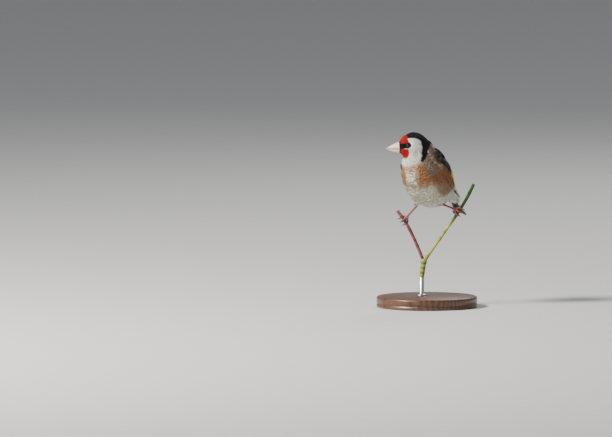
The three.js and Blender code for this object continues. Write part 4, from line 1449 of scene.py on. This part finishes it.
def makeBillHalf(name, upper):
    sign = 1 if upper else -1
    half = bill["upper" if upper else "lower"]
    (place, long), (level, high) = bill["nostril"]
    turn = np.linspace(0, math.pi, bill["sides"] + 1)
    keel = 1 + 0.05 * np.exp(-(((turn - math.pi / 2) / 0.3) ** 2))
    rings, marks = [], []
    for share in np.linspace(0, 1, bill["stations"]):
        forward = bill["base"] + share * (bill["length"] + bill["root"] + bill["end"] - half["short"])
        along = (forward - bill["start"]) / (bill["length"] + bill["root"] - half["short"])
        along = np.clip(along, 0, 1)
        wide = 0.2 + bill["width"] / 2 * (1 - along) ** half["taper"]
        deep, taper = half["deep"]
        tall = 0.22 + bill["depth"] * (deep * (1 - along) ** taper)
        floor = bill["mouth"] - bill["droop"] * along + sign * bill["gap"] / 2
        left, up = np.cos(turn) * wide * sign, floor + sign * np.sin(turn) ** 0.93 * tall * keel
        edge = 0.1 * np.exp(-((np.sin(turn) / 0.12) ** 2)) * (1 - along)
        left = left * (1 + edge)
        offset = ((forward - place) / long) ** 2 + ((up - level) / high) ** 2
        spot = np.exp(-offset) if upper else np.zeros_like(turn)
        left = left * (1 - 0.3 * spot)
        ring = headForward * forward + np.outer(left, headLeft) + np.outer(up, headUp)
        rings.append(headCentre + ring * mm)
        marks.append(np.column_stack([np.full_like(turn, along), np.sin(turn), spot]))
    mesh = loftMesh(name, rings)
    marks = np.concatenate(marks + [[[0, 0, 0]], [[1, 0, 0]]])
    colour = np.broadcast_to(ink["horn"], (len(marks), 3))
    colour = blend(colour, ink["hornTip"], 0.85 * smooth(marks[:, 0], 0.62, 1.0))
    # darker along the line of the mouth, and over much of the lower mandible, where it is painted shade under
    # the upper one
    colour = blend(colour, ink["hornEdge"], 0.75 * (1 - smooth(marks[:, 1], 0.0, half["rim"])))
    colour = blend(colour, ink["hornTip"], 0.45 * smooth(marks[:, 1], 0.93, 1) * half["ridge"])
    # painted shade: the nostril's opening is painted near black over a shallow dent
    paint(mesh, blend(colour, ink["lid"], 0.95 * smooth(marks[:, 2], 0.3, 0.8)))
    patchMap(mesh, bill["stations"], bill["sides"] + 1)
    piece = newPiece(name, mesh, hornMaterial)
    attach(piece, "root")
    return piece


for half, upper in (("upper", True), ("lower", False)):
    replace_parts(makeBillHalf("mandible_" + half, upper), "bill_" + half)


bristles = {"count": 72, "start": 10.5, "length": 1.5, "crest": 0.5, "width": 0.95, "lift": 0.22}


# Short black bristles that hide the seam between face and bill, and half of each nostril
def makeBristles():
    billTree = treeOf("bill_upper", "bill_lower")
    count, share = bristles["count"], np.linspace(0, 1, coat["stations"])
    lines, ups = [], []
    for turn in np.linspace(0, 2 * math.pi, count, endpoint=False):
        outward = unit(headLeft * math.cos(turn) + headUp * math.sin(turn))
        reach = bristles["length"] + bristles["crest"] * max(0, math.sin(turn)) + rng.normal(0, 0.12)
        line = []
        for forward in bristles["start"] + share * reach:
            start = onHead(forward, 0, 0.4) + outward * 12 * mm
            hit, normal, _, _ = billTree.ray_cast(Vector(start), Vector(-outward))
            line.append((np.array(hit), np.array(normal)))
        lines.append([place for place, _ in line])
        ups.append([normal for _, normal in line])
    lines, ups = np.array(lines), np.array(ups)
    sizes = np.full(count, bristles["width"]), np.full(count, bristles["lift"])
    charted = chartOf(lines[:, 0])
    growFeathers("bill_bristles", lines, ups, *sizes, charted, plumage, locks=5, sink=0.0, roll=0.02)


makeBristles()
print("bill made")


# Legs: scaled shanks, padded toes that wind round the stem, and dark claws

leg = {
    "shankRadius": 0.82,
    "toeRadius": 0.68,
    "armRadius": 1.3,
    "gap": 0.22,  # mm between a toe and the stem
    "scutes": 11,
    "shankSteps": 90,
    "shankEnds": (1.2, 1.9),  # mm past the ankle, and short of the stem
    "toeSteps": 64,
    "clawSteps": 26,
    "scales": 2300.0,
    "scaleBump": 0.5,
    "scaleDepth": 0.00012,  # metres
    "clawReach": (-4, 58),  # degrees past the toe's end
    "padSteps": 24,
}
legPlaces = {
    "right": {"ankle": (-10.2, -2.6, -23.2), "grip": (-19, -6.5, -33.9)},
    "left": {"ankle": (13.4, 6.4, -20.6), "grip": (23.5, 13.3, -25.6)},
}
stem = {
    "fork": (-4, 1, -68.5),
    "foot": (-5.4, -0.1, -81),
    "radius": 2.2,
    "armRadius": 1.3,
    "right": [
        (-4, 1, -68.5), (-9.6, -1.6, -54), (-14.8, -4.2, -42), (-19, -6.5, -33.9), (-24.6, -8.6, -26.4),
    ],
    "left": [
        (-4, 1, -68.5), (9.8, 7.2, -47), (23.5, 13.3, -25.6), (30.6, 16.6, -12.5), (34.8, 18.6, -3),
    ],
    "fineSteps": 400,
    "steps": 170,
    "sides": 42,
    "ridges": (7, 0.06, 1.1),  # how many, how high and their twist
    "joints": (0.3, 0.62, 0.9),
    "jointBulge": 0.16,
    "cutEnd": 0.86,  # of the radius, at the end of an arm
    "top": (0.3, 0.2, 2.6),  # mm from the fork to the end of the main stem inside it
    "mainSteps": 60,
    "mainSides": 40,
}
# Degrees round the stem, mm along it and size of each toe
toes = [(150, -3, 0.8), (195, 0, 1), (150, 3, 0.8), (-125, 0.2, 0.9)]
ink["shank"] = rgb("7a3836")
ink["scute"] = rgb("a35c52")
ink["claw"] = rgb("3a2c28")


def makeLegMaterial():
    material = paintedMaterial(
        "legSkin", grain=2600.0, strength=0.14, bump=0.1, Roughness=0.5, Specular_IOR_Level=0.45
    )
    tree = material.node_tree
    scales = placeGroup(tree, hornyScales, Size=leg["scales"])
    height = scales.outputs["Height"]
    bumpFrom(tree, tree.nodes["Principled BSDF"], height, leg["scaleBump"], leg["scaleDepth"])
    return material


legMaterial = makeLegMaterial()
clawMaterial = paintedMaterial(
    "clawHorn", grain=4000.0, strength=0.2, bump=0.2, Roughness=0.35, Specular_IOR_Level=0.5
)


# A tube along a path whose rings are paint too: shade runs from 0 to 1 between two colours at each ring
def makeTube(name, path, radii, material, slot, colours, shade, sides=18, across=None, shape=None):
    rings = np.array(tubeRings(np.asarray(path), np.asarray(radii), sides=sides, across=across))
    if shape is not None:
        rings = shape(rings, np.asarray(path))
    mesh = loftMesh(name, rings)
    shade = np.concatenate([np.repeat(shade, sides), [shade[0], shade[-1]]])
    paint(mesh, blend(np.broadcast_to(ink[colours[0]], (len(shade), 3)), ink[colours[1]], shade))
    patchMap(mesh, len(path), sides)
    piece = newPiece(name, mesh, material)
    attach(piece, "root")
    return piece


def makeShank(side):
    ankle, grip = (inBody(*legPlaces[side][end]) for end in ("ankle", "grip"))
    along = unit(grip - ankle)
    past, short = leg["shankEnds"]
    start = ankle - along * past * mm
    end = grip - along * (leg["armRadius"] + short) * mm
    share = np.linspace(0, 1, leg["shankSteps"])
    phase = (share * leg["scutes"]) % 1
    step = 0.07 * (1 - phase) ** 2
    radii = leg["shankRadius"] * (1 + 0.35 * np.abs(2 * share - 1) ** 4 + step) * mm
    path = start + np.outer(share, end - start)
    colours = ("shank", "scute")
    piece = makeTube("shank_skin_" + side, path, radii, legMaterial, "leg_skin", colours, 1 - phase**0.5)
    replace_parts(piece, "shank_" + side)


def makeFoot(side):
    ankle, grip = (inBody(*legPlaces[side][end]) for end in ("ankle", "grip"))
    arm = bodyCentre + curveThrough(stem[side], stem["fineSteps"]) * mm
    nearest = np.argmin(np.linalg.norm(arm - grip, axis=1))
    axis = unit(arm[nearest + 1] - arm[nearest - 1])
    outward = ankle - grip
    outward = unit(outward - axis * (outward @ axis))
    sideways = np.cross(axis, outward)
    wrap = leg["armRadius"] + leg["gap"] + leg["toeRadius"]

    def onStem(turn, shift, radius):
        turn = np.radians(turn)[:, None]
        radius = np.asarray(radius)[:, None]
        place = axis * np.asarray(shift, float)[:, None] + outward * np.cos(turn) * radius
        return grip + (place + sideways * np.sin(turn) * radius) * mm

    pieces = []
    for toe, (turn, shift, size) in enumerate(toes):
        share = np.linspace(0, 1, leg["toeSteps"])
        bends = turn * share
        path = onStem(bends, shift * smooth(share, -0.2, 0.5), wrap + 0.3 * (1 - share))
        joints = 4 if toe < 3 else 3
        phase = (share * joints) % 1
        knuckle = 0.16 * np.cos(2 * math.pi * phase) ** 2
        scute = 0.05 * (1 - (share * joints * 4) % 1)
        radii = leg["toeRadius"] * (1 + knuckle + scute) * mix(1, size, share) * mix(1.15, 0.95, share) * mm
        radii *= np.sqrt(1 - 0.7 * np.clip((share - 0.93) / 0.07, 0, 1) ** 2)
        shade = 1 - ((share * joints * 4) % 1) ** 0.6
        look = legMaterial, "leg_skin", ("shank", "scute"), shade
        pieces.append(makeTube(f"toe_{side}_{toe + 1}", path, radii, *look, across=axis))
        sign = math.copysign(1, turn)
        share = np.linspace(0, 1, leg["clawSteps"])
        bends = turn + sign * mix(*leg["clawReach"], share)
        claw = onStem(bends, shift * mix(1, 1.15, share), wrap + 2.3 * share**1.9 + 0.1)
        radii = (0.5 * (1 - share) ** 0.75 + 0.05) * mm
        look = clawMaterial, "leg_skin", ("shank", "claw"), smooth(share, 0.0, 0.2)
        makeTube(f"claw_{side}_{toe + 1}", claw, radii, *look, across=axis)
    pad = np.linspace(0, 1, leg["padSteps"])
    path = onStem(np.zeros(len(pad)), np.zeros(len(pad)), wrap + mix(-0.5, 2.2, pad))
    radii = mix(1.35, 0.95, pad) * np.sqrt(1 - 0.8 * (1 - np.clip(pad / 0.15, 0, 1)) ** 2) * mm
    look = legMaterial, "leg_skin", ("shank", "scute"), (pad * 5) % 1
    makeTube("foot_pad_" + side, path, radii, *look, across=axis)
    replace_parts(pieces[0], "foot_" + side)


for side in ("left", "right"):
    makeShank(side)
    makeFoot(side)
print("legs made")


# Perch: a ridged weed stem that forks into a green arm and a reddish one

ink["green"] = rgb("55701c")
ink["darkGreen"] = rgb("2d4a12")
# painted shadow: the green of the left arm where the bird's shadow falls on it
ink["paleGreen"] = rgb("b9b95a")
ink["purple"] = rgb("43232b")
ink["palePurple"] = rgb("8c4a48")
stemMaterial = paintedMaterial(
    "stemRind", grain=700.0, strength=0.32, bump=0.4, Roughness=0.6, Specular_IOR_Level=0.35
)


# Lengthwise ridges that turn slowly round an arm of the stem
def ridged(rings, middle):
    ridges, height, twist = stem["ridges"]
    turn = np.arange(rings.shape[1]) / rings.shape[1] * 2 * math.pi
    twist = np.linspace(0, twist, len(rings))[:, None]
    gain = 1 + height * np.abs(np.cos(ridges / 2 * (turn[None] + twist))) - height / 2
    return middle[:, None] + (rings - middle[:, None]) * gain[..., None]


def makePerch():
    fork, foot = inBody(*stem["fork"]), inBody(*stem["foot"])
    for side, colours in (("right", ("purple", "palePurple")), ("left", ("green", "paleGreen"))):
        path = bodyCentre + curveThrough(stem[side], stem["steps"]) * mm
        share = np.linspace(0, 1, stem["steps"])
        high = stem["jointBulge"]
        bulge = sum(high * np.exp(-(((share - at) / 0.012) ** 2)) for at in stem["joints"])
        radii = stem["armRadius"] * (1 + bulge + 0.25 * np.exp(-((share / 0.05) ** 2))) * mm
        radii[-1] *= stem["cutEnd"]
        streak = 0.5 + 0.3 * np.sin(share * 41 + 2 * np.sin(share * 17)) + 0.4 * bulge / high
        look = stemMaterial, "perch_stem", colours, np.clip(streak, 0, 1)
        piece = makeTube("stem_arm_" + side, path, radii, *look, sides=stem["sides"], shape=ridged)
        if side == "left":
            colour = mix(ink["green"], ink["paleGreen"], np.clip(streak, 0, 1)[:, None])
            # painted shadow: the arm is darker green from the foot upwards, where the bird shades it
            colour = blend(colour, ink["darkGreen"], smooth(share, 0.5, 0.62))
            colour = np.concatenate([np.repeat(colour, stem["sides"], 0), colour[:1], colour[-1:]])
            paint(piece.data, colour)
        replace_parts(piece, "perch_arm_" + side)
    top = fork + v3(*stem["top"]) * mm
    share = np.linspace(0, 1, stem["mainSteps"])
    path = curveThrough([foot, fork, top], stem["mainSteps"])
    swelling = (1 + 0.22 * smooth(share, 0.6, 0.9)) * (1 - 0.35 * smooth(share, 0.92, 1))
    swelling = swelling * np.sqrt(1 - 0.5 * (share > 0.985))
    look = stemMaterial, "perch_stem", ("green", "paleGreen"), 0.35 + 0.3 * np.sin(share * 23)
    piece = makeTube("stem_main", path, stem["radius"] * swelling * mm, *look, sides=stem["mainSides"])
    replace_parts(piece, "perch_stem")


makePerch()
print("perch made")


# Stand: a turned wooden base and a short steel rod

stand = {
    "radius": 42.0,
    "height": 9.0,
    "bevel": 1.6,
    "groove": ((0, 0.28), (0.5, 0.33), (0.5, 0.38), (0, 0.43)),  # depth, and share of the height
    "topRing": ((3.5, 0), (3.9, 0.25), (4.3, 0)),  # in from the edge, and depth
    "hole": 3.2,
    "rodRadius": 2.0,
    "collar": ((4.2, -0.05), (4.2, 0.7), (3.9, 1.1), (2.6, 1.3), (2.0, 1.6)),  # radius, height on the base
    "sides": 128,
}
wood = {"stretch": (40, 260, 90), "grain": 2.4, "rings": 95.0, "shares": (0.75, 0.4), "fade": (0.3, 0.85)}
steel = {"colour": (0.62, 0.63, 0.65, 1), "stretch": (250, 250, 6000), "rough": (0.22, 0.2)}
ink["wood"] = rgb("3b2417")
ink["woodGrain"] = rgb("6a4329")


def makeWoodMaterial():
    material, tree, shader = newMaterial("turnedWood", Roughness=0.42, Coat_Weight=0.35, Coat_Roughness=0.25)
    place = addNode(tree, "ShaderNodeTexCoord").outputs["Object"]
    stretched = addNode(tree, "ShaderNodeMapping", i0=place, Scale=wood["stretch"]).outputs[0]
    grain = addNode(
        tree, "ShaderNodeTexNoise",
        Vector=stretched, Scale=wood["grain"], Detail=8.0, Roughness=0.62, Distortion=0.7,
    )
    settings = {"bands_direction": "Y"}
    rings = addNode(
        tree, "ShaderNodeTexWave", settings, Vector=place, Scale=wood["rings"], Distortion=4.5, Detail=3.0
    )
    grainShare, ringShare = wood["shares"]
    fine = mathNode(tree, "MULTIPLY", grain.outputs["Fac"], grainShare)
    mixed = mathNode(tree, "MULTIPLY_ADD", rings.outputs["Fac"], ringShare, fine)
    ramp = addNode(tree, "ShaderNodeValToRGB", Fac=mixed)
    first, last = ramp.color_ramp.elements
    first.position, last.position = wood["fade"]
    first.color = (*ink["wood"], 1)
    last.color = (*ink["woodGrain"], 1)
    tree.links.new(ramp.outputs["Color"], shader.inputs["Base Color"])
    bumpFrom(tree, shader, mixed, 0.25, 0.0002)
    return material


def makeSteelMaterial():
    material, tree, shader = newMaterial("brushedSteel", Metallic=1.0)
    shader.inputs["Base Color"].default_value = steel["colour"]
    place = addNode(tree, "ShaderNodeTexCoord").outputs["Object"]
    stretched = addNode(tree, "ShaderNodeMapping", i0=place, Scale=steel["stretch"]).outputs[0]
    lines = addNode(tree, "ShaderNodeTexNoise", Vector=stretched, Scale=1.0, Detail=3.0)
    rough = mathNode(tree, "MULTIPLY_ADD", lines.outputs["Fac"], *steel["rough"])
    tree.links.new(rough, shader.inputs["Roughness"])
    bumpFrom(tree, shader, lines.outputs["Fac"], 0.12, 0.00005)
    return material


def turned(name, centre, profile, material, slot):
    turn = np.linspace(0, 2 * math.pi, stand["sides"], endpoint=False)
    around = np.column_stack([np.cos(turn), np.sin(turn), np.zeros_like(turn)])
    rings = [centre + (around * radius + v3(0, 0, height)) * mm for radius, height in profile]
    mesh = loftMesh(name, rings)
    patchMap(mesh, len(profile), stand["sides"])
    piece = newPiece(name, mesh, material)
    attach(piece, "root")
    return piece


def makeStand():
    low, high = (np.array(corner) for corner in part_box("stand_rod"))
    middle = (low + high) / 2
    radius, height, bevel = stand["radius"], stand["height"], stand["bevel"]
    profile = [(radius - 0.5, 0), (radius, 0.5)]
    profile += [(radius - depth, height * share) for depth, share in stand["groove"]]
    turn = np.radians(np.linspace(0, 90, 9))
    profile += [(radius - bevel + bevel * math.cos(a), height - bevel + bevel * math.sin(a)) for a in turn]
    profile += [(radius - inward, height - depth) for inward, depth in stand["topRing"]]
    profile.append((stand["hole"], height))
    base = turned("wooden_base", v3(0, 0, 0), profile, makeWoodMaterial(), "stand_wood")
    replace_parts(base, "stand_base")
    rodTop = high[2] / mm - 0.02
    collar = [(wide, height + rise) for wide, rise in stand["collar"]]
    rod = collar + [(stand["rodRadius"], rodTop - 0.3), (stand["rodRadius"] - 0.3, rodTop)]
    piece = turned("steel_rod", v3(middle[0], middle[1], 0), rod, makeSteelMaterial(), "stand_metal")
    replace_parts(piece, "stand_rod")


makeStand()
print("stand made")


# Stage: a plain pale floor, and soft studio light that comes from the photograph's sunny side

stage = {
    "floor": 20.0,  # metres across
    "floorColours": ((0.6, 0.61, 0.6, 1), (0.66, 0.66, 0.65, 1)),
    "sky": 0.33,
    "skyColour": (0.8, 0.83, 0.88, 1),
    # compass direction, height, distance, size, power and colour
    "key": (-24, 36, 1.6, 0.34, 56.0, (1, 0.96, 0.9)),
    "fill": (95, 22, 2.2, 1.4, 1.6, (0.9, 0.95, 1)),
    "rim": (200, 40, 1.8, 0.8, 9.0, (1, 0.98, 0.95)),
}


def makeStage():
    size = stage["floor"] / 2
    corners = [(-size, -size, 0), (size, -size, 0), (size, size, 0), (-size, size, 0)]
    mesh = meshFrom("floor", corners, [(0, 1, 2, 3)])
    material, tree, shader = newMaterial("paleFloor", Roughness=0.75, Specular_IOR_Level=0.2)
    place = addNode(tree, "ShaderNodeTexCoord").outputs["Object"]
    noise = addNode(tree, "ShaderNodeTexNoise", Vector=place, Scale=60.0, Detail=3.0)
    ramp = addNode(tree, "ShaderNodeValToRGB", Fac=noise.outputs["Fac"])
    for element, colour in zip(ramp.color_ramp.elements, stage["floorColours"]):
        element.color = colour
    tree.links.new(ramp.outputs["Color"], shader.inputs["Base Color"])
    newPiece("floor", mesh, material, shadeSmooth=False)
    world = bpy.data.worlds.new("studio")
    bpy.context.scene.world = world
    world.use_nodes = True
    background = world.node_tree.nodes["Background"]
    background.inputs["Color"].default_value = stage["skyColour"]
    background.inputs["Strength"].default_value = stage["sky"]


def addLight(name, azimuth, elevation, distance, size, power, colour):
    turn, rise = math.radians(azimuth), math.radians(elevation)
    away = v3(math.sin(turn) * math.cos(rise), -math.cos(turn) * math.cos(rise), math.sin(rise))
    data = bpy.data.lights.new(name, "AREA")
    data.shape = "DISK"
    data.size = size
    data.energy = power
    data.color = colour
    light = bpy.data.objects.new(name, data)
    light.location = Vector(bodyCentre + away * distance)
    light.rotation_euler = Vector(away).to_track_quat("Z", "Y").to_euler()
    bpy.context.collection.objects.link(light)


makeStage()
for name in ("key", "fill", "rim"):
    addLight(name, *stage[name])
print("stage and light made")
